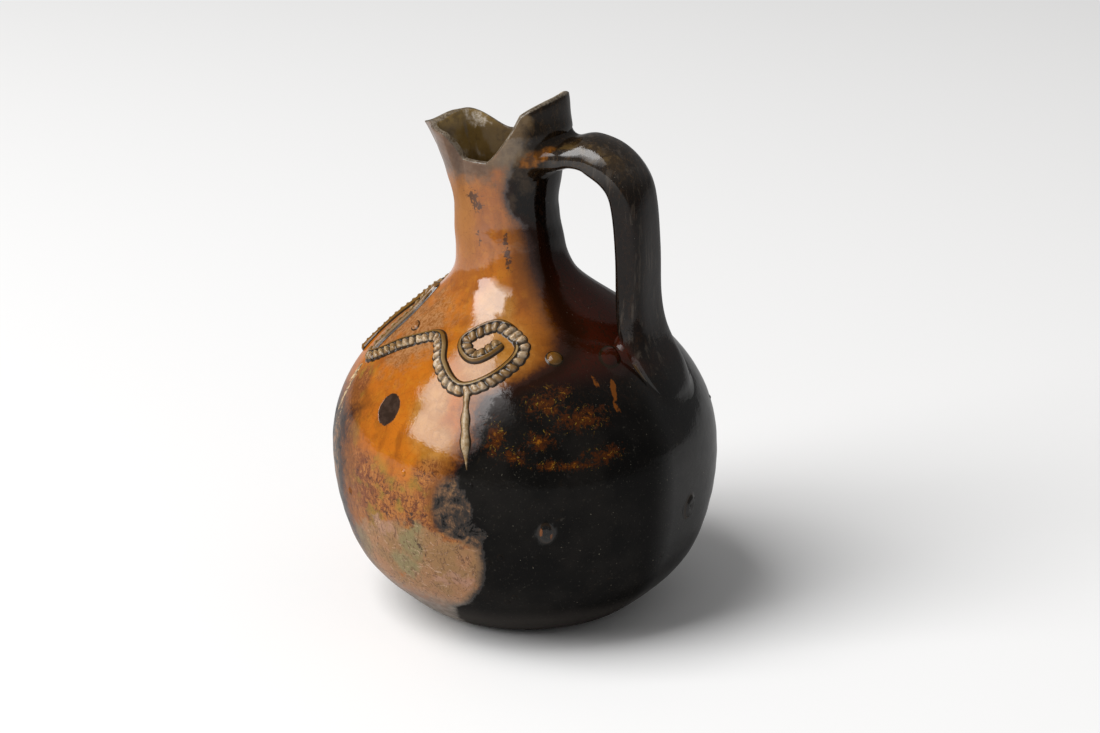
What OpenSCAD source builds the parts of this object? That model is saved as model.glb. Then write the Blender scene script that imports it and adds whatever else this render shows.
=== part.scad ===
// Small glazed earthenware pitcher with a pinched pouring mouth, a strap handle and applied notched coils.
// Frame: millimetres, +Z up, origin at the middle of the foot on the table.
// +X points to the handle, the spout points to -X, the side seen in the photograph faces -Y.
// Angles (azimuth) are degrees round the vertical axis: 0 at the handle, 180 at the spout, -90 towards the viewer.

/* [Body] */
// Radius of the belly at its widest
belly_radius = 93.7; // [70:0.1:120]
// Height of the widest ring above the table
belly_height = 78.2; // [40:0.2:100]
// Vertical half axis of the lower belly
lower_half = 104; // [73:0.2:180]
// Height over which the shoulder alone would draw in to the axis
shoulder_half = 96.9; // [70:0.1:130]
// Fullness of the shoulder curve, 2 is a parabola
shoulder_power = 2.31; // [1.6:0.01:3]
// Radius at which the trimmed wall would meet the table
foot_radius = 52.4; // [35:0.2:60]
// Rounding of the foot's edge: how far its flat stays inside that radius
foot_round = 6; // [0:0.5:12]
// Height over which the foot's edge is rounded
foot_round_height = 7; // [2:0.5:15]
// Outward run of the trimmed wall above the foot for each millimetre of height
trim_slope = 1.18; // [0.5:0.02:2]
// Softness of the edge between trimmed wall and belly
trim_blend = 14; // [2:1:40]
// Thickness of the thrown wall
wall = 4.6; // [3:0.1:8]
// Thickness of the floor
floor_thickness = 7; // [4:0.5:12]

/* [Neck] */
// Radius of the neck at its narrowest
neck_radius = 24.9; // [18:0.1:40]
// Height of the narrowest ring
neck_height = 200; // [160:1:230]
// Widening of the neck towards the shoulder for each millimetre downwards
neck_taper = 0.08; // [0:0.01:0.2]
// Softness of the turn from neck to shoulder
neck_blend = 35; // [8:1:60]
// Lean of the belly towards the spout
belly_lean = 1.4; // [0:0.1:15]
// Further lean of the neck towards the spout
neck_lean = 9.1; // [0:0.1:20]
// Heights between which the neck leans over
lean_span = [131, 199];

/* [Mouth] */
// Height of the rim at its two low sides
rim_dip = 225.7; // [205:0.5:240]
// Half the height by which the low side towards the viewer lies under the far one
rim_tilt = 1.8; // [0:0.1:5]
// Rise of the tongue's steep flank above the low sides, on the handle side
flank_rise = 22; // [0:0.2:40]
// Rise of the tongue's rounded top above its shoulders
crest_rise = 5; // [0:0.2:20]
// Half angle at the tongue's shoulders, where flank turns to top
tongue_shoulder = 51; // [30:1:70]
// Half angle where the tongue has come down to the low side
tongue_end = 85; // [60:1:110]
// Rise of the pouring lobe above the low sides
lobe_rise = 10.8; // [0:0.1:30]
// Half angles where the lobe starts and stands full, on the side towards the viewer
lobe_near = [111, 123];
// Half angles where the lobe starts and stands full, on the far side
lobe_far = [108, 150];
// Drop of the spout tip below the lobe
tip_drop = 3.4; // [0:0.1:10]
// Height where the mouth starts to flare
flare_from = 198; // [180:1:220]
// Flare of the rim on the low sides and the tongue
side_flare = 3.8; // [0:0.1:12]
// Further flare of the tongue, so that its back leans over the handle
tongue_flare = 2.4; // [0:0.1:8]
// Flare of the pouring lobe
lobe_flare = 10.2; // [0:0.1:20]
// Further reach of the pinched spout tip
tip_reach = 8.9; // [0:0.1:20]
// Half angle of the pinched spout tip
tip_angle = 24; // [10:1:60]
// Thickness of the rim edge
rim_thickness = 3.4; // [2:0.1:6]
// Depth of clay behind the pinched spout tip beyond the rim's thickness
tip_clay = 3.5; // [0:0.1:8]
// Inward set of the tongue for each millimetre above the lobe
tongue_tuck = 0.12; // [0:0.01:0.4]

/* [Handle] */
// Width of the strap
strap_width = 30.5; // [16:0.5:40]
// Thickness of the strap in its upright run
strap_thickness = 14.2; // [6:0.5:20]
// Thickness of the strap where it leaves the mouth
root_thickness = 16; // [8:0.5:24]
// Crown of the outer face over its edges at the top of the bow
strap_crown = 6; // [0:0.5:8]
// Height of the outer face at the top of the bow
bow_height = 237; // [210:0.2:250]
// Distance of the outer face from the origin in the upright run
bow_reach = 64.6; // [50:0.2:80]
// Height of the strap's root above the low sides of the rim
root_rise = 7.3; // [2:0.1:12]
// Least height of the bow's top above its root
bow_arch = 4; // [0:0.2:10]
// Height of the strap's landing on the shoulder above the widest ring
landing_rise = 36.8; // [25:0.2:60]
// How far the strap's outer face stands proud of the shoulder at its landing
landing_proud = 0; // [-1:0.02:3]
// How far the root's outer face starts behind the wall's face
root_sunk = 1.56; // [0.5:0.02:4]
// Widening of the strap at its foot
foot_spread = 8; // [0:0.5:16]
// Depth to which both ends sink in the wall
bond_depth = 2.4; // [1:0.1:4]

/* [Applied coil] */
// Width of the notched coil
coil_width = 6.8; // [3:0.1:10]
// Height of the coil over the wall
coil_height = 2.5; // [1:0.1:5]
// Distance from notch to notch
notch_pitch = 4; // [2:0.1:6]
// Share of width and height taken away at a notch
notch_depth = 0.3; // [0:0.05:0.6]
// Depth of the coil's bed under the wall's face
coil_bed = 1; // [0.4:0.1:2]
// Azimuth and height of the coil's start on the neck base beside the spout
coil_start = [-162, 157];
// Azimuth and height where the coil comes down the front
coil_front = [-151, 146];
// Azimuth and height of the low front corner
coil_corner = [-147, 127.5];
// Azimuth and height half way along the rising arm
coil_arm = [-129, 139];
// Azimuth and height of the arm's high end
coil_crest = [-114, 145.2];
// Azimuth and height of the corner where the arm turns down
coil_turn = [-107.3, 143.2];
// Azimuth and height half way down the short fall
coil_fall = [-101.5, 136.8];
// Azimuth and height of the hook's lowest point
coil_hook = [-88.5, 130];
// Azimuth and height where the hook climbs again
coil_climb = [-72, 138];
// Azimuth and height of the scroll's handle side
scroll_right = [-64.5, 146.5];
// Azimuth and height of the scroll's top
scroll_top = [-78, 152.5];
// Azimuth and height of the scroll's spout side
scroll_left = [-94.2, 146.8];
// Azimuth and height of the inner turn's lowest point
scroll_inner = [-87, 141.5];
// Azimuth and height of the scroll's free end
scroll_end = [-75, 147.2];
// Turn and drop of the far side's ornament against a true mirror image
far_shift = [12, 4];
// Azimuth of the short coil beside the front line
short_coil_turn = 170; // [160:1:178]
// Upper and lower height of the short coil
short_coil_span = [157, 120];

/* [Drip and pellets] */
// Azimuth and height of the drip rib's top
rib_top = [-86, 130];
// Azimuth and height of the drip rib's point
rib_point = [-81.5, 99];
// Width of the drip rib at its fullest
rib_width = 4.6; // [2:0.2:8]
// Height of the drip rib over the wall
rib_height = 2.2; // [1:0.1:5]
// Azimuth and height of the shoulder pellet
pellet_shoulder = [-50.5, 141.5];
// Azimuth and height of the low pellet
pellet_low = [-59, 70];
// Azimuth and height of the pellet below the handle
pellet_handle = [-8.5, 66];
// Azimuth and height of the pellet above the arm
pellet_arm = [-133.5, 145];
// Azimuth and height of the lump at the handle's foot
foot_lump = [-24, 139];
// Radius of the shoulder pellet
pellet_radius = 3.9; // [2:0.1:8]
// Half length and half width of the low pellets
low_pellet = [6.4, 4.4];

/* [Facets] */
// Facets round the body
columns = 48; // [36:4:96]
// Rings on the outside of the belly and neck
body_rings = 20; // [16:1:40]
// Rings on the flared mouth
mouth_rings = 6; // [4:1:12]
// Rings on the inside
inner_rings = 12; // [10:1:30]
// Sections along one run of the handle's outline
strap_steps = 2; // [2:1:6]

/* [Hidden] */
full_turn = 360;
half_turn = 180;
tiny = 0.05;
flank_power = 1.3;
crest_power = 3.3;
tip_from = 158;
tip_power = 1.5;
flare_span = 36;
flare_power = 1.3;
flare_cap = 236;
glaze_amber = [0.72, 0.40, 0.12];
glaze_black = [0.13, 0.09, 0.07];
clay_brown = [0.45, 0.29, 0.16];

// Smooth step from 0 at a to 1 at b
function ease(a, b, x) = let (t = min(1, max(0, (x - a) / (b - a)))) t * t * (3 - 2 * t);
// Angle folded into -180 to 180
function folded(a) = let (m = (a + half_turn) % full_turn) (m < 0 ? m + full_turn : m) - half_turn;
// Greater and lesser of two values with a rounded change over
function soft_max(a, b, k) = let (h = max(k - abs(a - b), 0) / k) max(a, b) + h * h * h * k / 6;
function soft_min(a, b, k) = let (h = max(k - abs(a - b), 0) / k) min(a, b) - h * h * h * k / 6;

// Radius of the lower belly: an ellipse cut by the trimmed cone above the foot
function lower_radius(z) =
    let (drop = (z - belly_height) / lower_half)
    soft_min(belly_radius * sqrt(max(0, 1 - drop * drop)), foot_radius + trim_slope * z, trim_blend)
    - foot_round * pow(max(0, 1 - z / foot_round_height), 2);
// Radius of the shoulder, running on below zero above its top so that the neck takes over
function shoulder_radius(z) = belly_radius * (1 - pow(max(z - belly_height, 0) / shoulder_half, shoulder_power));
// Radius of the body and neck at height z
function body_radius(z) =
    z < belly_height ? lower_radius(z)
    : soft_max(shoulder_radius(z), neck_radius + neck_taper * max(neck_height - z, 0), neck_blend);
// Sideways place of the axis at height z
function axis_x(z) =
    -belly_lean * ease(0, belly_height * 1.5, z) - neck_lean * ease(lean_span[0], lean_span[1], z);

// Height of the rim at azimuth a: two low sides, a tall tongue at the handle, a lobe at the spout
function lobe_share(a) =
    let (b = abs(folded(a)), span = folded(a) < 0 ? lobe_near : lobe_far)
    ease(span[0], span[1], b);
function rim_height(a) =
    let (b = abs(folded(a)), flank = min(1, max(0, (tongue_end - b) / (tongue_end - tongue_shoulder))))
    rim_dip + rim_tilt * sin(a) * (1 - lobe_share(a)) * (folded(a) > 0 ? 1 - 2 * flank : 1)
    + flank_rise * pow(flank, flank_power)
    + crest_rise * (1 - pow(min(1, b / tongue_shoulder), crest_power))
    + lobe_rise * lobe_share(a) - tip_drop * ease(tip_from, half_turn, b);
// Share of the spout's pinch at azimuth a
function tip_share(a) = max(0, 1 - (half_turn - abs(folded(a))) / tip_angle);
// Flare of the mouth at azimuth a
function flare(a) =
    side_flare + (lobe_flare - side_flare) * lobe_share(a) + tip_reach * pow(tip_share(a), tip_power)
    + tongue_flare * (1 - ease(tongue_shoulder * 0.6, tongue_end, abs(folded(a))));
// Radius of the outer face at azimuth a and height z, mouth included
function outer_radius(a, z) =
    body_radius(z)
    + flare(a) * pow(max(0, min(z, flare_cap) - flare_from) / flare_span, flare_power)
    - tongue_tuck * max(0, z - flare_cap);
// Point at azimuth a, height z, moved out from the outer face by d
function face_point(a, z, d = 0) =
    let (r = outer_radius(a, z) + d)
    [axis_x(z) + r * cos(a), r * sin(a), z];

// Height of a ring at share t of the way from low to the mouth, closest at the foot and where the neck turns in
function ring_height(t, low) = lookup(t, [
    [0, low], [0.1, low + foot_round_height], [0.2, low + 0.3 * belly_height], [0.5, 1.48 * belly_height],
    [0.6, 1.78 * belly_height], [0.9, 2.2 * belly_height], [1, flare_from]]);
// Slope of the wall at height z and the place of the inner face behind it
function wall_slope(z) = (body_radius(z + tiny) - body_radius(z - tiny)) / (2 * tiny);
function inner_point(a, z) =
    let (s = wall_slope(z), n = sqrt(1 + s * s), h = max(z + wall * s / n, floor_thickness), r = body_radius(z) - wall / n)
    [axis_x(z) + r * cos(a), r * sin(a), h];
// Point on the inner face of the mouth at share t of the way up
function mouth_point(a, t, thick) =
    let (z = flare_from + t * (rim_height(a) - flare_from), clay = thick > 0 ? tip_clay * tip_share(a) * t : 0,
         r = outer_radius(a, z) - thick - clay)
    [axis_x(z) + r * cos(a), r * sin(a), z];

// Azimuth of column j, drawn together at the spout where the mouth bends most
function column_turn(j) = let (a = full_turn * j / columns) a + 14 * sin(a);

// Closed skin through a list of rings with equal point counts. In the first rings every second ring may stand
// half a step on, like bricks, and the diagonals follow it.
function skin_faces(rings, count, brick = 0) = concat(
    [[for (j = [0:count - 1]) j]],
    [for (i = [0:rings - 2]) for (j = [0:count - 1])
        let (k = (j + 1) % count, a = i * count + j, b = i * count + k, c = a + count, d = b + count)
        each (i < brick && i % 2 == 0 ? [[a, c, b], [b, c, d]] : [[a, d, b], [a, c, d]])],
    [[for (j = [count - 1:-1:0]) (rings - 1) * count + j]]);

// Thrown body with neck and mouth, hollow from the rim down to the floor
module thrown_body() {
    turns = [for (j = [0:columns - 1]) column_turn(j)];
    outside = [for (i = [0:body_rings]) let (on = i < body_rings && i % 2 == 1 ? 0.5 : 0)
        [for (j = [0:columns - 1]) face_point(column_turn(j + on), ring_height(i / body_rings, 0))]];
    flared = [for (i = [1:mouth_rings]) [for (a = turns) mouth_point(a, i / mouth_rings, 0)]];
    edge = [[for (a = turns) mouth_point(a, 1, rim_thickness / 2) + [0, 0, rim_thickness / 4]]];
    inside_mouth = [for (i = [mouth_rings:-1:1]) [for (a = turns)
        mouth_point(a, i / mouth_rings, wall + (rim_thickness - wall) * i / mouth_rings)]];
    inside = [for (i = [inner_rings:-1:0]) [for (a = turns)
        inner_point(a, ring_height(i / inner_rings, floor_thickness + 2))]];
    rings = concat(outside, flared, edge, inside_mouth, inside);
    color(glaze_amber)
    polyhedron(points = [for (ring = rings) each ring], faces = skin_faces(len(rings), columns, body_rings), convexity = 10);
}

// Curve through named stations, four points at a time
function curve_at(p, i, t) =
    let (n = len(p) - 1, a = i > 0 ? p[i - 1] : 2 * p[0] - p[1], b = p[i], c = p[i + 1],
         d = i + 2 <= n ? p[i + 2] : 2 * p[n] - p[n - 1])
    0.5 * (2 * b + (c - a) * t + (2 * a - 5 * b + 4 * c - d) * t * t + (3 * b - a - 3 * c + d) * t * t * t);
function curve(p, steps) = concat(
    [for (i = [0:len(p) - 2]) for (k = [0:steps - 1]) curve_at(p, i, k / steps)], [p[len(p) - 1]]);

// Height of the strap's root and of its landing, and the sideways place of the wall behind each
root_height = min(rim_dip + root_rise, bow_height - bow_arch);
landing_height = belly_height + landing_rise;
function wall_x(z) = axis_x(z) + outer_radius(0, z);
// Outwards by a share of the way from the root to the upright run, then from there to the landing
function bow_x(share) = wall_x(root_height) + share * (bow_reach - wall_x(root_height));
function landing_x(share) = bow_reach + share * (wall_x(landing_height) + landing_proud - bow_reach);
// Downwards by a share of the way from the top of the bow to the landing
function bow_z(share) = bow_height - share * (bow_height - landing_height);

// Handle outline: place of the outer face, thickness, half width and crown
strap_stations = [
    [wall_x(root_height) - strap_width / 2, root_height - 1.5, root_thickness - 3, strap_width * 0.7, 1],
    [wall_x(root_height) - root_sunk, root_height, root_thickness - 3, strap_width * 0.62, 1],
    [bow_x(0.096), root_height + 1.4, root_thickness - 3, strap_width * 0.55, strap_crown * 0.5],
    [bow_x(0.323), bow_height, root_thickness + 1, strap_width / 2, strap_crown],
    [bow_x(0.593), bow_z(0.0246), root_thickness + 2.4, strap_width / 2, strap_crown],
    [bow_x(0.797), bow_z(0.082), root_thickness + 2, strap_width / 2, strap_crown * 0.8],
    [bow_x(0.926), bow_z(0.1639), strap_thickness + 2.6, strap_width / 2, strap_crown * 0.5],
    [bow_x(0.98), bow_z(0.2705), strap_thickness + 1.5, strap_width / 2, strap_crown * 0.3],
    [bow_x(1), bow_z(0.4426), strap_thickness + 0.2, strap_width / 2, 0.6],
    [landing_x(0.0353), bow_z(0.623), strap_thickness, strap_width / 2, 0.6],
    [landing_x(0.1412), bow_z(0.7295), strap_thickness, strap_width / 2 + foot_spread * 0.2, 1],
    [landing_x(0.3412), bow_z(0.8115), strap_thickness, strap_width / 2 + foot_spread * 0.5, 1.5],
    [landing_x(0.6647), bow_z(0.8893), strap_thickness * 0.8, strap_width / 2 + foot_spread * 0.5, 2],
    [landing_x(0.8824), bow_z(0.9508), strap_thickness * 0.6, strap_width / 2 + foot_spread * 0.3, 2.4],
    [landing_x(1), bow_z(1), strap_thickness * 0.5, strap_width / 2, 2],
    [landing_x(1) + 2.4, bow_z(1) - strap_thickness * 0.56, strap_thickness * 0.4, strap_width / 2 - 1.5, 2]];
// Point of the strap's section as shares of half width and thickness, corners rounded
section_points = 14;
function section_share(k) =
    let (a = full_turn * (k + 0.5) / section_points, c = cos(a), s = sin(a))
    [sign(c) * pow(abs(c), 0.34), sign(s) * pow(abs(s), 0.34)];
// A point kept out of the cavity: never deeper in the wall than the bond
function bonded(p) =
    let (dx = p[0] - axis_x(p[2]), a = atan2(p[1], dx), rho = norm([dx, p[1]]), low = outer_radius(a, p[2]) - bond_depth)
    rho < low ? [axis_x(p[2]) + low * cos(a), low * sin(a), p[2]] : p;

module strap_handle() {
    line = curve(strap_stations, strap_steps);
    last = len(line) - 1;
    rings = [for (i = [0:last])
        let (q = line[i], d = line[min(i + 1, last)] - line[max(i - 1, 0)], len_d = norm([d[0], d[1]]),
             out = [-d[1], d[0]] / len_d)
        [for (k = [0:section_points - 1])
            let (s = section_share(k), in = q[2] * (0.5 - 0.5 * s[1]), arch = q[4] * s[0] * s[0] * (0.5 + 0.5 * s[1]))
            bonded([q[0] - out[0] * (in + arch), q[3] * s[0], q[1] - out[1] * (in + arch)])]];
    color(glaze_black)
    polyhedron(points = [for (ring = rings) each ring], faces = skin_faces(len(rings), section_points), convexity = 6);
}

// Outward direction of the outer face at azimuth a and height z
function face_normal(a, z) =
    let (u = face_point(a + tiny, z) - face_point(a - tiny, z), v = face_point(a, z + tiny) - face_point(a, z - tiny),
         n = cross(u, v))
    n / norm(n);
// Evenly spaced stations along a path given as azimuth and height
function path_lengths(p, i = 1, sum = [0]) =
    i >= len(p) ? sum
    : path_lengths(p, i + 1, concat(sum, [sum[i - 1]
        + norm(face_point(p[i][0], p[i][1]) - face_point(p[i - 1][0], p[i - 1][1]))]));
function evened(p, spacing) =
    let (lengths = path_lengths(p), total = lengths[len(lengths) - 1], count = max(2, ceil(total / spacing)))
    [for (k = [0:count])
        let (s = total * k / count, i = min(len(p) - 2, len([for (l = lengths) if (l <= s + tiny * tiny) l]) - 1),
             t = (s - lengths[i]) / max(tiny * tiny, lengths[i + 1] - lengths[i]))
        p[i] + (p[i + 1] - p[i]) * min(1, max(0, t))];

// Half section of a laid coil as shares of half width and height
coil_section = [[1, -1], [0.74, 0.72], [0, 1], [-0.74, 0.72], [-1, -1]];
// Strand laid on the wall: every second section is notched, both ends run out rounded
module laid_strand(path, width, height, notch) {
    last = len(path) - 1;
    rings = [for (i = [0:last])
        let (a = path[i][0], z = path[i][1], n = face_normal(a, z), p = face_point(a, z),
             ahead = path[min(i + 1, last)], behind = path[max(i - 1, 0)],
             t = face_point(ahead[0], ahead[1]) - face_point(behind[0], behind[1]), side = cross(n, t) / norm(t),
             end = i == 0 || i == last ? 0.45 : 1, keep = (1 - notch * (i % 2)) * end)
        [for (c = coil_section)
            p + side * (c[0] * width / 2 * (0.5 + 0.5 * keep)) + n * (c[1] < 0 ? -coil_bed : c[1] * height * keep)]];
    polyhedron(points = [for (ring = rings) each ring], faces = skin_faces(len(rings), len(coil_section)), convexity = 8);
}

// Long scroll coil and the short coil of one side
module scroll_coil(shift = [0, 0]) {
    stations = [coil_start, coil_front, coil_corner, coil_arm, coil_crest, coil_turn, coil_fall, coil_hook, coil_climb,
        scroll_right, scroll_top, scroll_left, scroll_inner, scroll_end];
    color(glaze_amber)
    laid_strand(evened([for (p = curve(stations, 6)) p - shift], notch_pitch / 2), coil_width, coil_height, notch_depth);
}
module short_coil() {
    stations = [[-short_coil_turn + 4, short_coil_span[0]], [-short_coil_turn, (short_coil_span[0] + short_coil_span[1]) / 2],
        [-short_coil_turn + 4, short_coil_span[1]]];
    color(glaze_amber)
    laid_strand(evened(curve(stations, 6), notch_pitch / 2), coil_width, coil_height, notch_depth);
}

// Tapered rib of glaze that ran down from the hook
module drip_rib(shift) {
    count = 12;
    rings = [for (i = [0:count])
        let (t = i / count, place = rib_top + (rib_point - rib_top) * t - shift, a = place[0], z = place[1],
             n = face_normal(a, z), side = [-sin(a), cos(a), 0],
             keep = 0.55 + 0.45 * ease(0, 0.6, t) - 0.9 * ease(0.72, 1, t))
        [for (c = coil_section)
            face_point(a, z) + side * (c[0] * rib_width / 2 * keep) + n * (c[1] < 0 ? -coil_bed : c[1] * rib_height * keep)]];
    color(clay_brown)
    polyhedron(points = [for (ring = rings) each ring], faces = skin_faces(len(rings), len(coil_section)), convexity = 4);
}

// Pressed pellet: low dome lying along the wall, long and across half sizes given
module pellet(place, long, across, rise) {
    count = 10;
    levels = [[1, -coil_bed], [1, 0.15 * rise], [0.78, 0.7 * rise], [0.35, rise]];
    n = face_normal(place[0], place[1]);
    side = [-sin(place[0]), cos(place[0]), 0];
    up = cross(n, side);
    middle = face_point(place[0], place[1]);
    hull()
    polyhedron(
        points = [for (l = levels) for (k = [0:count - 1])
            middle + side * across * l[0] * cos(full_turn * k / count) + up * long * l[0] * sin(full_turn * k / count) + n * l[1]],
        faces = skin_faces(len(levels), count));
}

module pellets(shift) {
    color(clay_brown) {
        pellet(pellet_shoulder - shift, pellet_radius, pellet_radius, pellet_radius * 0.6);
        pellet(pellet_low - shift, low_pellet[0], low_pellet[1], low_pellet[1] * 0.45);
        pellet(pellet_arm, pellet_radius * 0.9, pellet_radius * 0.6, pellet_radius * 0.4);
        pellet(foot_lump, low_pellet[0] * 1.1, low_pellet[0], low_pellet[1] * 0.7);
    }
}

// Everything applied to one side
module side_ornament(shift) {
    scroll_coil(shift);
    short_coil();
    drip_rib(shift);
    pellets(shift);
}

// The whole pitcher, one fired piece
module pitcher() {
    union() {
        thrown_body();
        strap_handle();
        side_ornament([0, 0]);
        color(clay_brown) pellet(pellet_handle, low_pellet[0], low_pellet[1], low_pellet[1] * 0.45);
        mirror([0, 1, 0]) side_ornament(far_shift);
    }
}

pitcher();
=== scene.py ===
# %% [markdown]
# # A glazed pitcher with a pinched mouth, a strap handle and notched coils
#
# The real pitcher is one piece of thrown earthenware. Its potter pulled the mouth into a spout
# and a tall tongue, luted a strap handle to it, laid notched coils of clay on the shoulder, and
# dipped it in an amber lead glaze that smoke turned black on the handle's side.
# This lesson builds its surface with numpy from a few formulas and then paints that surface with
# procedural shaders. Lengths are written in millimetres and turned to metres at the very end.

import math

import bpy
import numpy as np

from mathutils import Matrix


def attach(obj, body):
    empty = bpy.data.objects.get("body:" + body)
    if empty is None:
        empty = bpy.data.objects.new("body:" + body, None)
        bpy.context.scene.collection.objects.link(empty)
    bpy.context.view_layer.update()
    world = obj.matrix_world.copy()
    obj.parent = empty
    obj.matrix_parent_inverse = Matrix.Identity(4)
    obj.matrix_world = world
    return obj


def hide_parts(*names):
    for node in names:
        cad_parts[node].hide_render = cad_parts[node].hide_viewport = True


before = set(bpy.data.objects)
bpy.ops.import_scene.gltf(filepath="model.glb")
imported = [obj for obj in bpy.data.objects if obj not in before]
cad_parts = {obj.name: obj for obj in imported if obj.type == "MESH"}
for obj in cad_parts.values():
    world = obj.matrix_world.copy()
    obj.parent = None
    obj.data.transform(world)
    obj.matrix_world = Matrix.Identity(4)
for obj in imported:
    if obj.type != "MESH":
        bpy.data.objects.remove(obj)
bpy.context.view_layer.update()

# %% [markdown]
# ## The thrown wall as one formula
#
# A thrown pot is a profile turned round an axis. Here the profile is an ellipse that meets a
# trimmed cone at the foot and a slim neck at the top, each pair joined by a soft minimum or
# maximum, which is how a potter's rib rounds the same joints. Writing the radius as a function
# of height, instead of spinning a drawn curve, lets every later step ask for any point of the
# wall and its direction: the coils, the pellets and the handle all stand on this function.

# %% Helpers: a smooth step, and soft choices between two values
TINY = 0.05  # the step that slopes are read over, in mm or degrees


def ease(a, b, x):
    """0 below a, 1 above b, and three t squared less two t cubed between them."""
    t = np.clip((x - a) / (b - a), 0, 1)
    return t * t * (3 - 2 * t)


def soft_max(a, b, k):
    """The greater value, plus a sixth of k times the cubed nearness of the two."""
    near = np.maximum(k - np.abs(a - b), 0) / k
    return np.maximum(a, b) + near**3 * k / 6


def soft_min(a, b, k):
    """The lesser value, less a sixth of k times the cubed nearness of the two."""
    return -soft_max(-a, -b, k)


# %% Sizes of the thrown body, in millimetres
BELLY_RADIUS, BELLY_HEIGHT = 93.7, 78.2
LOWER_HALF, SHOULDER_HALF, SHOULDER_POWER = 104, 96.9, 2.31
FOOT_RADIUS, FOOT_ROUND, FOOT_ROUND_HEIGHT = 52.4, 6, 7
TRIM_SLOPE, TRIM_BLEND = 1.18, 14
NECK_RADIUS, NECK_HEIGHT, NECK_TAPER, NECK_BLEND = 24.9, 200, 0.08, 35
WALL, FLOOR = 4.6, 7
BELLY_LEAN, NECK_LEAN, NECK_LEAN_FROM, NECK_LEAN_TO = 1.4, 9.1, 131, 199


def body_radius(z):
    """Radius of the body at height z: an ellipse cut by the trimmed cone, then a shoulder that
    draws in with a power of the height, then the neck's taper, with soft turns between them."""
    drop = (z - BELLY_HEIGHT) / LOWER_HALF
    belly = BELLY_RADIUS * np.sqrt(np.maximum(0, 1 - drop * drop))
    lower = soft_min(belly, FOOT_RADIUS + TRIM_SLOPE * z, TRIM_BLEND)
    lower = lower - FOOT_ROUND * np.maximum(0, 1 - z / FOOT_ROUND_HEIGHT) ** 2
    climb = np.maximum(z - BELLY_HEIGHT, 0) / SHOULDER_HALF
    shoulder = BELLY_RADIUS * (1 - climb**SHOULDER_POWER)
    neck = NECK_RADIUS + NECK_TAPER * np.maximum(NECK_HEIGHT - z, 0)
    return np.where(z < BELLY_HEIGHT, lower, soft_max(shoulder, neck, NECK_BLEND))


def axis_x(z):
    """Sideways place of the turning axis: the belly leans a little and the neck much more."""
    neck = NECK_LEAN * ease(NECK_LEAN_FROM, NECK_LEAN_TO, z)
    return -BELLY_LEAN * ease(0, 1.5 * BELLY_HEIGHT, z) - neck


# %% [markdown]
# ## The pinched mouth
#
# While the clay was soft the rim was cut and pulled: two low sides, a tongue that stands up at
# the handle, and a lobe pinched to a pouring tip. So the rim's height, and how far the mouth
# flares, are functions of the angle round the axis. Angle 0 is the handle, 180 the spout and
# -90 the side that faces the viewer.

# %% Height and flare of the rim round the mouth
RIM_DIP, RIM_TILT = 225.7, 1.8
FLANK_RISE, CREST_RISE = 22.0, 5.0
TONGUE_SHOULDER, TONGUE_END = 51, 85
LOBE_RISE, LOBE_NEAR, LOBE_FAR = 10.8, (112, 122.5), (108, 150)
TIP_DROP, TIP_DROP_FROM, TIP_REACH, TIP_ANGLE = 3.4, 158, 8.9, 24
FLARE_FROM, FLARE_SPAN, FLARE_CAP = 198, 36, 236
SIDE_FLARE, LOBE_FLARE, TONGUE_FLARE, TONGUE_TUCK = 3.8, 10.2, 2.4, 0.12
FLANK_POWER, CREST_POWER, FLARE_POWER, TIP_POWER = 1.3, 3.3, 1.3, 1.5
RIM_THICKNESS, TIP_CLAY = 3.4, 3.5


def folded(a):
    """Angle a brought between -180 and 180 degrees."""
    return (a + 180) % 360 - 180


def lobe_share(a):
    """1 on the pouring lobe, 0 off it; its edge towards the viewer is a steep pinch."""
    b = folded(a)
    return np.where(b < 0, ease(*LOBE_NEAR, -b), ease(*LOBE_FAR, b))


def tip_share(a):
    """1 at the pouring tip, falling evenly to 0 at the tip's half angle."""
    return np.maximum(0, 1 - (180 - np.abs(folded(a))) / TIP_ANGLE)


def rim_height(a):
    """Low sides, plus the tongue's flank and rounded crest, plus the lobe, less the tip's drop.
    The far low side stands above the near one by twice the tilt."""
    turn = folded(a)
    b = np.abs(turn)
    flank = np.clip((TONGUE_END - b) / (TONGUE_END - TONGUE_SHOULDER), 0, 1)
    lobe = lobe_share(a)
    tilt = RIM_TILT * np.sin(np.radians(a)) * (1 - lobe) * np.where(turn > 0, 1 - 2 * flank, 1)
    crest = CREST_RISE * (1 - np.minimum(1, b / TONGUE_SHOULDER) ** CREST_POWER)
    drop = TIP_DROP * ease(TIP_DROP_FROM, 180, b)
    return RIM_DIP + tilt + FLANK_RISE * flank**FLANK_POWER + crest + LOBE_RISE * lobe - drop


def outer_radius(a, z):
    """Radius of the outer face: the body's, plus the mouth's flare, less the tongue's tuck."""
    flare = SIDE_FLARE + (LOBE_FLARE - SIDE_FLARE) * lobe_share(a)
    flare = flare + TIP_REACH * tip_share(a) ** TIP_POWER
    flare = flare + TONGUE_FLARE * (1 - ease(TONGUE_SHOULDER * 0.6, TONGUE_END, np.abs(folded(a))))
    rise = np.maximum(0, np.minimum(z, FLARE_CAP) - FLARE_FROM) / FLARE_SPAN
    return body_radius(z) + flare * rise**FLARE_POWER - TONGUE_TUCK * np.maximum(0, z - FLARE_CAP)


def around(a, z, r):
    """Point at angle a, height z and distance r from the leaning axis."""
    t = np.radians(a)
    return np.stack(np.broadcast_arrays(axis_x(z) + r * np.cos(t), r * np.sin(t), z), -1)


def face(a, z, out=0.0):
    """Point of the outer face, moved away from the axis by out."""
    return around(a, z, outer_radius(a, z) + out)


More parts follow.
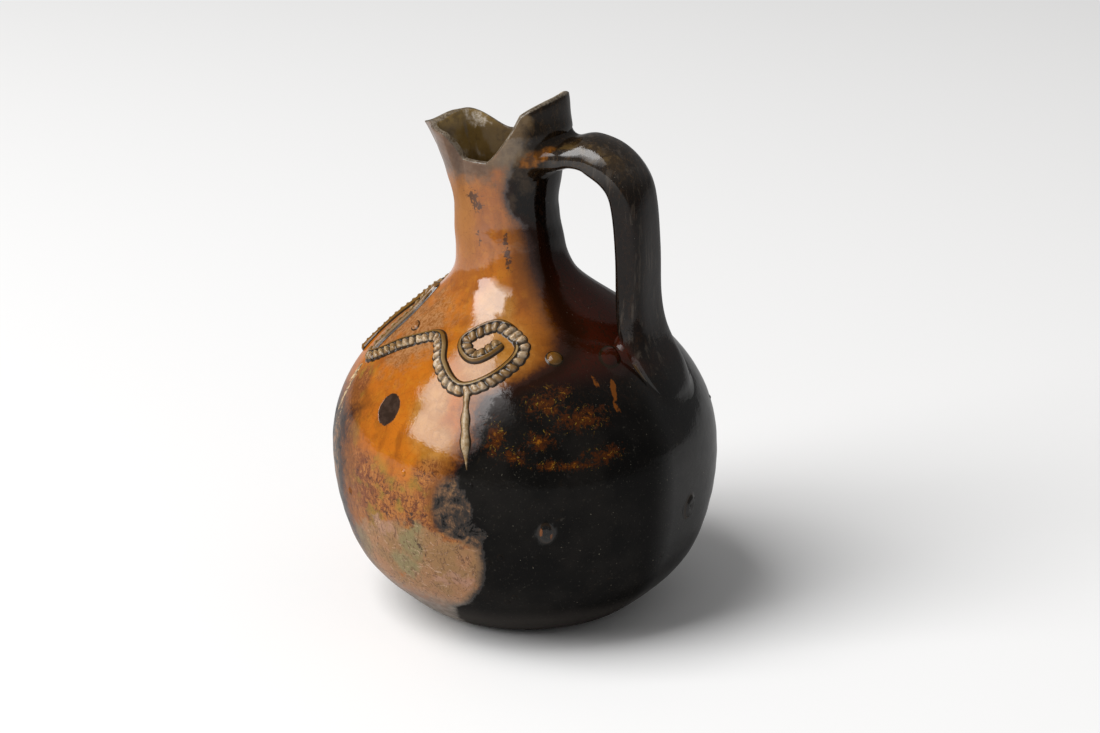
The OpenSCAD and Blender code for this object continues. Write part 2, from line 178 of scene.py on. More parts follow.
def unit(v):
    """Vectors brought to length 1."""
    return v / np.maximum(np.linalg.norm(v, axis=-1, keepdims=True), 1e-9)


def face_normal(a, z):
    """Outward direction: the cross product of a small step round and a small step up."""
    round_step = face(a + TINY, z) - face(a - TINY, z)
    return unit(np.cross(round_step, face(a, z + TINY) - face(a, z - TINY)))


print("belly", float(2 * body_radius(np.array(BELLY_HEIGHT))), "mm wide, rim",
      float(rim_height(180.0)), "mm at the tip and", float(rim_height(0.0)), "mm at the tongue")

# %% [markdown]
# ## Hand-made unevenness
#
# A thrown wall is never quite true: fingers leave faint rings, and the leather-hard pot is
# pressed a little out of round. A sum of slow waves, under a third of a millimetre, is enough
# for the reflections to swim as they do on the real glaze. It is real geometry, in the mesh
# itself. It only ever takes clay away, to keep the pot inside its CAD size.

# %% Slow waves that the fingers left
SINK = 0.42  # just over the greatest height of the waves together


def unevenness(a, z):
    """Sum of sine waves over angle and height: throwing rings, dents, and a wandering ring."""
    t = np.radians(a)
    rings = 0.10 * np.sin(2 * np.pi * z / 13 + 0.8 * np.sin(t + 0.4)) * ease(150, 175, z)
    rings = rings + 0.06 * np.sin(2 * np.pi * z / 9.5 + 1.3 * np.sin(2 * t)) * ease(130, 60, z)
    dents = 0.16 * np.sin(3 * t + z / 21) * np.sin(z / 17 + 1) + 0.10 * np.sin(7 * t - z / 13)
    fine = 0.05 * np.sin(17 * t + z / 6) * np.sin(z / 5.3 + 2 * np.sin(5 * t))
    return rings + dents + fine - SINK


# %% [markdown]
# ## A store for the skins
#
# The pitcher is one fired piece, so it becomes one mesh object. Each skin is a grid of points:
# one direction runs round, the other along. A helper turns a grid into quads and keeps three
# numbers with every point for the shader: how deep it lies in a crevice, how much of an applied
# coil it is, and how worn its edge is.

# %% Collect grids of points as one mesh
skins = {"points": [], "quads": [], "fans": [], "crevice_pool_and_shade": [], "coil": [], "worn": []}


def add_grid(points, crevice_pool_and_shade=0.0, coil=0.0, worn=0.0, closed=True, flip=False):
    """Adds a grid (rows, columns, 3) as quads; closed joins its last column to its first. The
    answer is the number of the grid's first point."""
    rows, columns = points.shape[:2]
    start = sum(len(p) for p in skins["points"])
    spans = columns if closed else columns - 1
    i, j = np.meshgrid(np.arange(rows - 1), np.arange(spans), indexing="ij")
    k = (j + 1) % columns
    corners = (i, j), (i, k), (i + 1, k), (i + 1, j)
    quads = np.stack([row * columns + column for row, column in corners], -1)
    quads = quads.reshape(-1, 4) + start
    skins["quads"].append(quads[:, ::-1] if flip else quads)
    skins["points"].append(points.reshape(-1, 3))
    for name, value in (("crevice_pool_and_shade", crevice_pool_and_shade), ("coil", coil), ("worn", worn)):
        skins[name].append(np.broadcast_to(value, (rows, columns)).reshape(-1).astype(float))
    return start


def add_cap(ring, first, flip=False, like=(0.0, 0.0, 0.0)):
    """Closes a ring, whose first point has the number first, with a fan to its middle."""
    centre = sum(len(p) for p in skins["points"])
    skins["points"].append(ring.mean(0, keepdims=True))
    j = np.arange(len(ring))
    fan = np.stack([first + j, first + (j + 1) % len(ring), np.full(len(ring), centre)], -1)
    skins["fans"].append(fan[:, ::-1] if flip else fan)
    for name, value in zip(("crevice_pool_and_shade", "coil", "worn"), like):
        skins[name].append(np.array([float(value)]))


# %% [markdown]
# ## Where the columns and rings stand
#
# A grid needs close columns where the mouth bends, at the pouring tip and at the steep pinch
# beside it, and may be wide elsewhere. The way to get that is to write how dense the columns
# should be at each angle, add it up round the circle, and read the sum backwards.

# %% Columns and rings of the thrown wall
COLUMNS, OUTSIDE_ROWS, MOUTH_ROWS, LIP_ROWS, INNER_MOUTH_ROWS, INNER_ROWS = 288, 124, 28, 7, 14, 33
fine_turns = np.linspace(-180, 180, 3601)
crowds = [(180, 16, 1.3), (-180, 16, 1.3), (-117, 7, 1.6),
          (0, 10, 0.5), (-54, 10, 0.3), (54, 10, 0.3)]  # angle, width, how much denser
density = 1 + sum(gain * np.exp(-(((fine_turns - at) / width) ** 2)) for at, width, gain in crowds)
run = np.concatenate([[0], np.cumsum((density[1:] + density[:-1]) / 2)])
turns = np.interp(np.arange(COLUMNS) / COLUMNS, run / run[-1], fine_turns)

heights = np.linspace(0, FLARE_FROM, 4000)
profile = np.stack([body_radius(heights), heights], 1)
lengths = np.concatenate([[0], np.cumsum(np.linalg.norm(np.diff(profile, axis=0), axis=1))])
print("profile from foot to neck", round(float(lengths[-1]), 1), "mm")


def evenly(lengths, values, count):
    """Values read at evenly spaced lengths along a path."""
    return np.interp(np.linspace(0, lengths[-1], count), lengths, values)


outside_heights = evenly(lengths, heights, OUTSIDE_ROWS)
print("columns", COLUMNS, "rings", len(outside_heights))

# %% [markdown]
# ## The strap handle
#
# The handle is a pulled strap: a slab-like section, rounder than a rectangle, carried along a
# bow. Its stations give the place of the outer face, the thickness, the half width and how far
# the middle stands over the edges. A smooth curve through the stations and a superellipse for
# the section give the form, and both ends run on inside the wall.

# %% Stations of the strap and its curve
STRAP_WIDTH, STRAP_THICKNESS, ROOT_THICKNESS, STRAP_CROWN = 30.5, 14.2, 16, 6
BOW_HEIGHT, BOW_REACH, FOOT_SPREAD, BOND = 237, 64.6, 8, 2.4
ROOT_HEIGHT, LANDING_HEIGHT = 233, 115
LOWER_ROOT, SMOOTHINGS = ROOT_THICKNESS - 3, 70
SQUARE_AT, SQUARENESS = [0, 0.3, 0.5, 0.62, 1], [0.6, 0.56, 0.46, 0.38, 0.38]
half = STRAP_WIDTH / 2
root_wall, landing_wall = (
    float(around(0.0, z, outer_radius(0.0, np.array(z)))[0]) for z in (ROOT_HEIGHT, LANDING_HEIGHT))


def station(start, end, share, down, thickness, width, crown):
    """Station at a share of the way from start out to end and a share of the way down."""
    drop = down * (BOW_HEIGHT - LANDING_HEIGHT)
    return [start + share * (end - start), BOW_HEIGHT - drop, thickness, width, crown]


# a row: outward place (or share), height (or share), thickness, half width, crown
in_root = [
    [root_wall - 16, ROOT_HEIGHT - 1.5, LOWER_ROOT, STRAP_WIDTH * 0.7, 1],
    [root_wall - 1.56, ROOT_HEIGHT, LOWER_ROOT, STRAP_WIDTH * 0.62, 1],
    [root_wall + 0.096 * (BOW_REACH - root_wall), ROOT_HEIGHT + 1.4, LOWER_ROOT,
     STRAP_WIDTH * 0.55, STRAP_CROWN * 0.5],
]
over_the_bow = [
    (0.323, 0, ROOT_THICKNESS + 1, half, STRAP_CROWN),
    (0.593, 0.0246, ROOT_THICKNESS + 2.4, half, STRAP_CROWN),
    (0.797, 0.082, ROOT_THICKNESS + 2, half, STRAP_CROWN * 0.8),
    (0.926, 0.1639, STRAP_THICKNESS + 2.6, half, STRAP_CROWN * 0.5),
    (0.98, 0.2705, STRAP_THICKNESS + 1.5, half, STRAP_CROWN * 0.3),
    (1, 0.4426, STRAP_THICKNESS + 0.2, half, 0.6),
]
down_to_landing = [
    (0.0353, 0.623, STRAP_THICKNESS, half, 0.6),
    (0.1412, 0.7295, STRAP_THICKNESS, half + FOOT_SPREAD * 0.2, 1),
    (0.3412, 0.8115, STRAP_THICKNESS, half + FOOT_SPREAD * 0.5, 1.5),
    (0.6647, 0.8893, STRAP_THICKNESS * 0.8, half + FOOT_SPREAD * 0.5, 2),
    (0.8824, 0.9508, STRAP_THICKNESS * 0.6, half + FOOT_SPREAD * 0.3, 2.4),
    (1, 1, STRAP_THICKNESS * 0.5, half, 2),
]
in_landing = [[landing_wall + 2.4, LANDING_HEIGHT - 8, STRAP_THICKNESS * 0.4, half - 1.5, 2]]
strap_stations = np.array(
    in_root + [station(root_wall, BOW_REACH, *row) for row in over_the_bow]
    + [station(BOW_REACH, landing_wall, *row) for row in down_to_landing] + in_landing)


def curve(stations, steps):
    """Catmull-Rom curve: each span is a cubic through its two stations, its slopes taken from
    the stations before and after; a station is made up beyond each end."""
    p = np.vstack([2 * stations[0] - stations[1], stations, 2 * stations[-1] - stations[-2]])
    t = (np.arange(steps) / steps)[None, :, None]
    a, b, c, d = (p[i : len(p) - 3 + i][:, None] for i in range(4))
    spans = 0.5 * (2 * b + (c - a) * t + (2 * a - 5 * b + 4 * c - d) * t**2
                   + (3 * b - a - 3 * c + d) * t**3)
    return np.vstack([spans.reshape(-1, stations.shape[1]), stations[-1:]])


def strap_skin(section_points=64, steps=12):
    """Superellipse section, rounder towards the root, with a crowned outer face, set square to
    the bow: cosine and sine, each to the power of the squareness."""
    line = curve(strap_stations, steps)
    along = np.gradient(line[:, :2], axis=0)
    along /= np.linalg.norm(along, axis=1, keepdims=True)
    out = np.stack([-along[:, 1], along[:, 0]], 1)
    for _ in range(SMOOTHINGS):
        out[1:-1] = (out[:-2] + 2 * out[1:-1] + out[2:]) / 4
    out = unit(out)
    t = np.radians(360 * (np.arange(section_points) + 0.5) / section_points)
    squareness = np.interp(np.linspace(0, 1, len(line)), SQUARE_AT, SQUARENESS)[:, None]
    across = np.sign(np.cos(t)) * np.abs(np.cos(t)) ** squareness
    through = np.sign(np.sin(t)) * np.abs(np.sin(t)) ** squareness
    crown = line[:, 4:5] * across**2
    depth = line[:, 2:3] * (0.5 - 0.5 * through) + crown * (0.5 + 0.5 * through)
    x = line[:, 0:1] - out[:, 0:1] * depth
    z = line[:, 1:2] - out[:, 1:2] * depth
    return np.stack([x, line[:, 3:4] * across, z], -1)


strap = strap_skin()
print("strap grid", strap.shape[:2], "top", round(float(strap[..., 2].max()), 1), "mm")

# %% [markdown]
# ## The strap's ends, and the clay smeared round them
#
# The strap is let into the wall by a little over 2 mm, as CAD has it, and never reaches the
# cavity. Where it was luted on, the potter smeared the joint round with a wet finger. That
# smear is a ribbon of its own: across it runs a quadratic curve from a point on the wall,
# bent towards the joint, to a point on the strap, so that it leaves both of them tangentially.

# %% Let the strap into the wall
JOINT_DEPTH = 0.4  # how far in the wall the strap's edge counts as joined


def wall_frame(p):
    """Angle, distance from the axis and radius of the wall beside each point."""
    dx = p[..., 0] - axis_x(p[..., 2])
    a = np.degrees(np.arctan2(p[..., 1], dx))
    return a, np.hypot(dx, p[..., 1]), outer_radius(a, p[..., 2])


def on_wall(p, out=0.0):
    """Points brought straight to the uneven wall, then moved off it by out."""
    a, _, _ = wall_frame(p)
    z = p[..., 2]
    return face(a, z) + face_normal(a, z) * (unevenness(a, z) + out)[..., None]


def bonded(p, depth=BOND):
    """Points deeper in the wall than the bond are moved straight out to it."""
    a, rho, r = wall_frame(p)
    return np.where((rho < r - depth)[..., None], around(a, p[..., 2], r - depth), p)


# %% Smear the joints
def smear(rows, wall_reach, strap_reach, steps=12):
    """Fillet ribbon round one end of the strap. rows run from inside the wall outwards."""
    a, rho, r = wall_frame(rows)
    inside = rho < r - JOINT_DEPTH
    inside[0] = True
    i = rows.shape[0] - 1 - np.argmax(inside[::-1], axis=0)
    j = np.arange(rows.shape[1])
    gap = rho - r + JOINT_DEPTH
    t = np.clip((-gap[i, j] / np.maximum(gap[i + 1, j] - gap[i, j], 1e-6))[:, None], 0, 1)
    joint = rows[i, j] * (1 - t) + rows[i + 1, j] * t
    smooth = lambda v: (np.roll(v, 1, 0) + 2 * v + np.roll(v, -1, 0)) / 4
    middle = joint.mean(0)
    aj, _, _ = wall_frame(joint)
    n = face_normal(aj, joint[:, 2])
    away = np.cross(n, np.roll(joint, -1, 0) - np.roll(joint, 1, 0))
    away = away * np.sign((away * (joint - middle)).sum(-1, keepdims=True))
    for _ in range(3):
        away = smooth(unit(away - n * (away * n).sum(-1, keepdims=True)))
    away = unit(away)
    steps_along = np.linalg.norm(np.diff(rows, axis=0), axis=2)
    run = np.concatenate([np.zeros((1, rows.shape[1])), np.cumsum(steps_along, 0)])
    start = run[i, j] + t[:, 0] * steps_along[i, j]

    def along(distance):
        """Point of the strap's skin at a distance from the joint along each of its lines."""
        want = start + distance
        k = np.clip((run < want[None]).sum(0) - 1, 0, rows.shape[0] - 2)
        part = ((want - run[k, j]) / np.maximum(run[k + 1, j] - run[k, j], 1e-6))[:, None]
        return rows[k, j] * (1 - part) + rows[k + 1, j] * part

    core = rows.mean(1, keepdims=True)
    on_strap = along(strap_reach)
    in_strap = unit(core[np.clip(i + 4, 0, len(core) - 1), 0] - on_strap)
    foot = on_wall(joint + away * np.reshape(wall_reach, (-1, 1)), np.array(-0.1))
    ring = [on_wall(joint + away * np.reshape(wall_reach + 2.0, (-1, 1)), np.array(-0.5)), foot]
    end = on_strap + in_strap * 0.1
    ring += [foot * (1 - k) ** 2 + 2 * k * (1 - k) * joint + end * k * k
             for k in np.linspace(0, 1, steps)[1:-1]]
    ring += [end, along(strap_reach + 2.0) + in_strap * 0.5]
    return np.stack(ring)


strap = bonded(strap)
first = add_grid(strap)
add_cap(strap[0], first, flip=True)
add_cap(strap[-1], first + strap[..., 0].size - strap.shape[1])
section_turn = np.radians(360 * (np.arange(strap.shape[1]) + 0.5) / strap.shape[1])
beside, above = np.abs(np.cos(section_turn)), np.maximum(np.sin(section_turn), 0)
ROOT_END, LANDING_END, SMEARED = 60, 96, 0.12  # rows near each end, and how dark the smears are made: partly pooled glaze, partly painted shade
root_smear = smear(strap[:ROOT_END], 3.5 + 4.5 * beside + 2 * above, 4 + 2.5 * beside + 1.5 * above)
foot_smear = smear(strap[::-1][:LANDING_END], 3.5 + 2.5 * beside, 4 + 2 * beside)
add_grid(root_smear, crevice_pool_and_shade=SMEARED)
add_grid(foot_smear, crevice_pool_and_shade=SMEARED, flip=True)
print("smears", root_smear.shape[:2], foot_smear.shape[:2])

# %% [markdown]
# ## The thrown skin, from the foot over the rim and down inside
#
# One closed grid runs from the middle of the foot up the outside, over the rounded rim, down
# the inside and to the middle of the floor, so the wall has its real thickness everywhere.

# %% Outside, rim, inside
waves = unevenness(turns[None], outside_heights[:, None])
outside = face(turns[None], outside_heights[:, None], waves)
outside[0] = face(turns, np.zeros(COLUMNS), -SINK)

mouth_steps = np.arange(1, MOUTH_ROWS + 1)[:, None] / MOUTH_ROWS


def mouth_ring(t, inset=0.0):
    """Ring of the mouth at share t of the way up to the rim, set in by inset."""
    z = FLARE_FROM + t * (rim_height(turns)[None] - FLARE_FROM)
    radius = outer_radius(turns[None], z) - inset + unevenness(turns[None], z)
    return around(turns[None], z, radius)


flared = mouth_ring(mouth_steps)
tip_clay = TIP_CLAY * tip_share(turns)[None]
lip_turn = np.radians(np.arange(1, LIP_ROWS + 1) * (180 / (LIP_ROWS + 1)))[:, None]
lip_half = (RIM_THICKNESS + tip_clay) / 2
lip = mouth_ring(np.ones((LIP_ROWS, 1)), lip_half * (1 - np.cos(lip_turn)))
lip[..., 2] += RIM_THICKNESS / 4 * np.sin(lip_turn)
down = np.arange(INNER_MOUTH_ROWS, 0, -1)[:, None] / INNER_MOUTH_ROWS
inside_mouth = mouth_ring(down, WALL + (RIM_THICKNESS - WALL) * down + tip_clay * down)

inner_heights = np.interp(np.linspace(1, 0, INNER_ROWS), np.linspace(0, 1, len(heights)),
                          evenly(lengths, heights, len(heights)))
inner_heights = inner_heights[inner_heights > FLOOR + 2]
slope = (body_radius(inner_heights + TINY) - body_radius(inner_heights - TINY)) / (2 * TINY)
tilt = np.sqrt(1 + slope * slope)
inside = around(turns[None], np.maximum(inner_heights + WALL * slope / tilt, FLOOR)[:, None],
                (body_radius(inner_heights) - WALL / tilt)[:, None])
last = inside[-1]
floor_shares = np.array([0.86, 0.7, 0.5, 0.25, 0.05])[:, None, None]
floor_middle = np.array([0.0, 0.0, FLOOR])
floor_rings = floor_middle + (last[None] - floor_middle) * floor_shares
floor_rings[..., 2] = FLOOR + (last[None, :, 2] - FLOOR) * floor_shares[..., 0] ** 4
foot_rings = outside[0][None] * np.array([0.04, 0.3, 0.6, 0.85])[:, None, None]
foot_rings[..., 2] = 0

thrown = np.concatenate([foot_rings, outside, flared, lip, inside_mouth, inside, floor_rings])
print("thrown grid", thrown.shape[:2], "of", 2 * thrown.shape[0] * thrown.shape[1], "triangles")

worn_rim = np.zeros(len(thrown))
rim_row = len(foot_rings) + len(outside) + len(flared)
worn_rim[rim_row - 1 : rim_row + LIP_ROWS] = [0.4, 0.8, 1, 1, 1, 1, 0.9, 0.5]
first = add_grid(thrown, worn=worn_rim[:, None])
add_cap(thrown[0], first, flip=True)
add_cap(thrown[-1], first + (len(thrown) - 1) * COLUMNS)

# %% [markdown]
# ## Notched coils laid on the shoulder
#
# The potter rolled coils of clay, laid them on the wall and pressed them down with a tool: one
# edge stays a smooth ridge, the rest is nicked every 4 mm. Here a coil is a ribbon that follows
# a path on the wall. Across the ribbon a section function gives the height: a bump with soft
# skirts that run out level with the wall, so that no hard line shows where coil meets pot.

# %% Paths of the coils: angle, height and the side of the smooth ridge (1 left, -1 right)
COIL_WIDTH, COIL_HEIGHT, NOTCH_PITCH = 6.8, 2.5, 3.9
NOTCH_DEPTH, GROOVE_DEPTH, SKIRT_SINK = 0.62, 0.24, 0.16
scroll_path = np.array([
    [-162, 157, 1], [-151, 146, 1], [-147, 127.5, 1], [-129, 139, 1], [-114, 145.2, 1],
    [-107.3, 143.2, 1], [-101.5, 136.8, 1], [-88.5, 130, 1], [-72, 138, 1], [-64.5, 146.5, 0.6],
    [-78, 152.5, -1], [-94.2, 146.8, -1], [-87, 141.5, -1], [-75, 147.2, -1],
], float)
short_path = np.array([[-166, 157, 1], [-170, 138.5, 1], [-166, 120, 1]], float)
FAR_SHIFT = np.array([12, 4, 0])


def far_side(path, shift=FAR_SHIFT):
    """The other side's copy: shifted a little along the wall, then mirrored."""
    return (path - shift[: path.shape[-1]]) * np.array([-1, 1, -1])[: path.shape[-1]]


def even_path(stations, spacing):
    """Stations joined by a smooth curve and read off again at even distances on the wall."""
    dense = curve(stations, 24)
    at = face(dense[:, 0], dense[:, 1])
    lengths = np.concatenate([[0], np.cumsum(np.linalg.norm(np.diff(at, axis=0), axis=1))])
    count = int(lengths[-1] / spacing) + 2
    path = np.stack([evenly(lengths, column, count) for column in dense.T], 1)
    return path, lengths[-1]


# %% The ribbon that a path carries
half_section = np.array([0.12, 0.26, 0.38, 0.48, 0.6, 0.74, 0.86, 0.96, 1.06, 1.2, 1.42])
SECTION = np.concatenate([-half_section[::-1], [0], half_section])


def laid_ribbon(stations, spacing, rounded=3.0):
    """Bump section: (1 - 0.42 u squared) / (1 + (u/0.95) to the 10th), u in half widths. The
    notches multiply it by a wave along the path, slanted across it, except on the ridge. The
    answer is the ribbon's points, how deep in a crevice each lies, and how much coil it is."""
    path, length = even_path(stations, spacing)
    a, z = path[:, 0], path[:, 1]
    p, n = face(a, z), face_normal(a, z)
    t = unit(np.gradient(p, axis=0))
    side = unit(np.cross(n, t))
    s = np.linspace(0, length, len(path))[:, None]
    from_end = np.minimum(s, length - s)
    end = np.sqrt(np.clip(1 - (1 - np.clip(from_end / rounded, 0, 1)) ** 2, 0, 1))
    u = SECTION[None] + 0 * s
    ridge_side = path[:, 2:3] * u
    toothed = ease(0.42, 0.24, ridge_side)
    wave = (0.5 + 0.5 * np.cos(2 * np.pi * (s / NOTCH_PITCH + 0.22 * ridge_side)
                               + 0.5 * np.sin(s / 7.3))) ** 1.4
    depth_by_tooth = 1 + 0.22 * np.sin(s * 1.13 + 2) + 0.16 * np.sin(s * 0.71)
    nick = NOTCH_DEPTH * wave * toothed * np.minimum(depth_by_tooth, 1.25)
    bump = (1 - 0.42 * np.minimum(u * u, 1)) / (1 + (np.abs(u) / 0.95) ** 10)
    groove = GROOVE_DEPTH * np.exp(-(((ridge_side - 0.34) / 0.12) ** 2))
    hand = 1 + 0.07 * np.sin(s / 9.1 + 1) + 0.05 * np.sin(s / 3.7)
    rise = COIL_HEIGHT * hand * end * bump * (1 - nick) * (1 - groove)
    rise = rise - SKIRT_SINK * ease(1.1, 1.42, np.abs(u)) - SINK
    bitten = 1 - 0.10 * nick * (ridge_side < 0) * (np.abs(u) < 1.1)
    spread = COIL_WIDTH / 2 * (0.35 + 0.65 * end) * u * bitten
    # points beside the path stand on the wall again, not on the path's tangent plane
    flat = p[:, None] + side[:, None] * spread[..., None]
    dx = flat[..., 0] - axis_x(flat[..., 2])
    turn = np.degrees(np.arctan2(flat[..., 1], dx))
    points = face(turn, flat[..., 2]) + face_normal(turn, flat[..., 2]) * rise[..., None]
    crevice_pool_and_shade = np.exp(-(((np.abs(u) - 1.04) / 0.13) ** 2)) + 0.75 * nick
    crevice_pool_and_shade = crevice_pool_and_shade + 0.8 * groove / GROOVE_DEPTH * (1 - 0.5 * nick)
    return points, np.clip(crevice_pool_and_shade, 0, 1), ease(1.1, 0.9, np.abs(u)) * (0.5 + 0.5 * toothed)


coils = [(scroll_path, 0.6), (far_side(scroll_path), 0.9),
         (short_path, 0.75), (far_side(short_path, 0 * FAR_SHIFT), 0.9)]  # path, mm between rows
for stations, spacing in coils:
    points, crevice_pool_and_shade, coil = laid_ribbon(stations, spacing)
    add_grid(points, crevice_pool_and_shade=crevice_pool_and_shade, coil=coil, closed=False, flip=True)
print("coils", len(coils))

# %% [markdown]
# ## The drip below the hook
#
# Glaze and slip ran down from the coil's lowest point and froze as a rib that ends in a point.
# It is a ribbon too, narrow and without notches, and its width is a function of its length.

# %% A rib that tapers to a point
RIB_HEIGHT, RIB_HALF = 2.1, 2.15


def drip(top, point):
    """Ribbon whose width swells over its first half and dies away over its last quarter."""
    path, _ = even_path(np.array([top, (top + point) / 2 + [0.4, 0], point], float), 0.6)
    a, z = path[:, 0], path[:, 1]
    p, n = face(a, z), face_normal(a, z)
    side = unit(np.cross(n, unit(np.gradient(p, axis=0))))
    t = np.linspace(0, 1, len(path))[:, None]
    keep = 0.6 + 0.4 * ease(0, 0.6, t) - 0.95 * ease(0.72, 1, t) + 0.12 * np.sin(t * 21)
    u = SECTION[None] + 0 * t
    bump = (1 - 0.5 * np.minimum(u * u, 1)) / (1 + (np.abs(u) / 0.9) ** 7)
    rise = RIB_HEIGHT * keep * bump - SKIRT_SINK * ease(1.1, 1.42, np.abs(u)) - SINK
    spread = RIB_HALF * np.maximum(keep, 0.15) * u
    points = p[:, None] + side[:, None] * spread[..., None] + n[:, None] * rise[..., None]
    return points, np.exp(-(((np.abs(u) - 1.05) / 0.2) ** 2)), ease(1.1, 0.8, np.abs(u)) * 0.75


rib_top, rib_point = np.array([-86, 130.0]), np.array([-81.5, 99.0])
for top, point in ((rib_top, rib_point), (far_side(rib_top), far_side(rib_point))):
    points, crevice_pool_and_shade, coil = drip(top, point)
    add_grid(points, crevice_pool_and_shade=crevice_pool_and_shade, coil=coil, closed=False, flip=True)

# %% [markdown]
# ## Pellets, lumps and blisters
#
# Small pressed pellets and a few blisters of the glaze stand on the wall. Each is a round patch
# with the same soft skirt. The blisters are only a millimetre or two across, yet each catches
# the lamp, so they are geometry and not paint.

# %% Round patches on the wall
patch_shares = np.array([0.02, 0.2, 0.4, 0.6, 0.74, 0.86, 0.96, 1.06, 1.2, 1.4])


def pressed(a, z, long, across, rise, lean=0.0, dimple=0.0, columns=24, fullness=8):
    """Dome (1 - 0.55 r squared) / (1 + (r/0.95) to the fullness) on an ellipse that may lean,
    less a dimple in its middle."""
    r = patch_shares[:, None]
    t = np.radians(360 * np.arange(columns) / columns)[None]
    x, y = across * r * np.cos(t), long * r * np.sin(t)
    c, s = math.cos(math.radians(lean)), math.sin(math.radians(lean))
    x, y = x * c - y * s, x * s + y * c
    p, n = face(np.array(a), np.array(z)), face_normal(np.array(a), np.array(z))
    east = np.array([-math.sin(math.radians(a)), math.cos(math.radians(a)), 0])
    north = np.cross(n, east)
    flat = p + east * x[..., None] + north * y[..., None]
    turn = np.degrees(np.arctan2(flat[..., 1], flat[..., 0] - axis_x(flat[..., 2])))
    dome = (1 - 0.55 * np.minimum(r * r, 1)) / (1 + (r / 0.95) ** fullness)
    height = rise * (dome - dimple * np.exp(-((r / 0.4) ** 2)))
    height = height - SKIRT_SINK * ease(1.06, 1.4, r) - SINK + 0 * t
    points = face(turn, flat[..., 2]) + face_normal(turn, flat[..., 2]) * height[..., None]
    return points, np.exp(-(((r - 1.05) / 0.12) ** 2)) + 0 * t


pellets = [  # angle, height, half length, half width, rise, lean, dimple
    (-50.5, 141.5, 3.9, 3.9, 2.3, 0, 0), (-59, 70, 4.6, 3.2, 1.7, 8, 0.25),
    (-8.5, 66, 5.6, 3.8, 1.9, -15, 0.6), (-133.5, 145, 3.5, 2.3, 1.6, 70, 0),
    (-24, 139, 4.8, 6.4, 1.7, 30, 0), (38.5, 137.5, 3.9, 3.9, 2.3, 0, 0),
    (47, 66, 6.4, 4.4, 2.0, -8, 0.4), (24, 139, 4.8, 6.4, 3.1, -30, 0),
]
blisters = [  # angle, height, radius
    (-71, 31, 1.6), (-68.5, 34, 1.3), (-72, 57, 1.4), (-75.5, 53.5, 1.2), (-102, 92, 1.2),
    (-128, 70, 1.4), (-44, 47, 1.1), (-80, 92, 1.0), (-66, 108, 1.1), (-52, 97, 1.0),
]
chance, STRAY_BLISTERS = np.random.default_rng(7), 14
blisters += zip(*(chance.uniform(least, most, STRAY_BLISTERS)
                  for least, most in ((-20, 190), (25, 120), (0.8, 1.6))))
for a, z, long, across, rise, lean, dimple in pellets:
    points, crevice_pool_and_shade = pressed(a, z, long, across, rise, lean, dimple)
    add_grid(points, crevice_pool_and_shade=crevice_pool_and_shade, coil=0.3 if z > 130 and rise > 2 else 0.0, flip=True)
for a, z, r in blisters:
    points, crevice_pool_and_shade = pressed(a, z, r * 1.2, r, 0.45 * r, lean=20, columns=14, fullness=5)
    add_grid(points, crevice_pool_and_shade=0.4 * crevice_pool_and_shade, flip=True)
print("pellets", len(pellets), "blisters", len(blisters))

# %% [markdown]
# ## One mesh object, and the fields its glaze reads
#
# All skins become one mesh in metres. Beside the three numbers kept so far, each point gets a
# few fields that say where the kiln's smoke, the glaze's runs and the wear lie, and where light
# and shade are painted into the colour. They are plain functions of angle and height in
# millimetres; the shader adds the fine, ragged edges.

# %% Make the mesh
points = np.vstack(skins["points"])
quads, fans = np.vstack(skins["quads"]), np.vstack(skins["fans"])


def signed_volume(points, quads, fans):
    """A sixth of the sum of the triangles' triple products; positive when they face outward.
    The ribbons and patches are open, so their cones to the origin are counted too."""
    tri = np.vstack([quads[:, [0, 1, 2]], quads[:, [0, 2, 3]], fans])
    a, b, c = (points[tri[:, k]] for k in range(3))
    return float((a * np.cross(b, c)).sum() / 6)


mesh = bpy.data.meshes.new("pitcher_glazed")
mesh.vertices.add(len(points))
mesh.vertices.foreach_set("co", (points / 1000).astype(np.float32).ravel())
mesh.loops.add(quads.size + fans.size)
corners = np.concatenate([quads.ravel(), fans.ravel()]).astype(np.int32)
mesh.loops.foreach_set("vertex_index", corners)
sizes = np.concatenate([np.full(len(quads), 4), np.full(len(fans), 3)])
starts = np.concatenate([[0], np.cumsum(sizes)[:-1]]).astype(np.int32)
mesh.polygons.add(len(sizes))
mesh.polygons.foreach_set("loop_start", starts)
mesh.polygons.foreach_set("use_smooth", np.ones(len(sizes), bool))
mesh.update(calc_edges=True)
mesh.validate(verbose=False)
pitcher = bpy.data.objects.new("pitcher_glazed", mesh)
bpy.context.scene.collection.objects.link(pitcher)
print("triangles", 2 * len(quads) + len(fans), "signed volume",
      round(signed_volume(points, quads, fans)), "cubic mm")
print("visual box in mm", points.min(0).round(2).tolist(), points.max(0).round(2).tolist())

# %% [markdown]
# ## Where smoke, stains and wear lie, and where light and shade are painted
#
# The glaze's colours change over centimetres: amber on the spout's side, brown and then black
# towards the handle, where the kiln's smoke lay. Such slow changes are fields, one number for
# each point, and every field is a plain function of the angle and the height. A signed field
# crosses zero where two colours meet; the shader adds noise to it before it draws the line, so
# the line comes out ragged, as glaze breaks.

# %% Where each point lies
def field(name, values):
    """Stores one number for each point of the mesh."""
    stored = mesh.attributes.new(name, "FLOAT", "POINT")
    stored.data.foreach_set("value", np.asarray(values, np.float32))


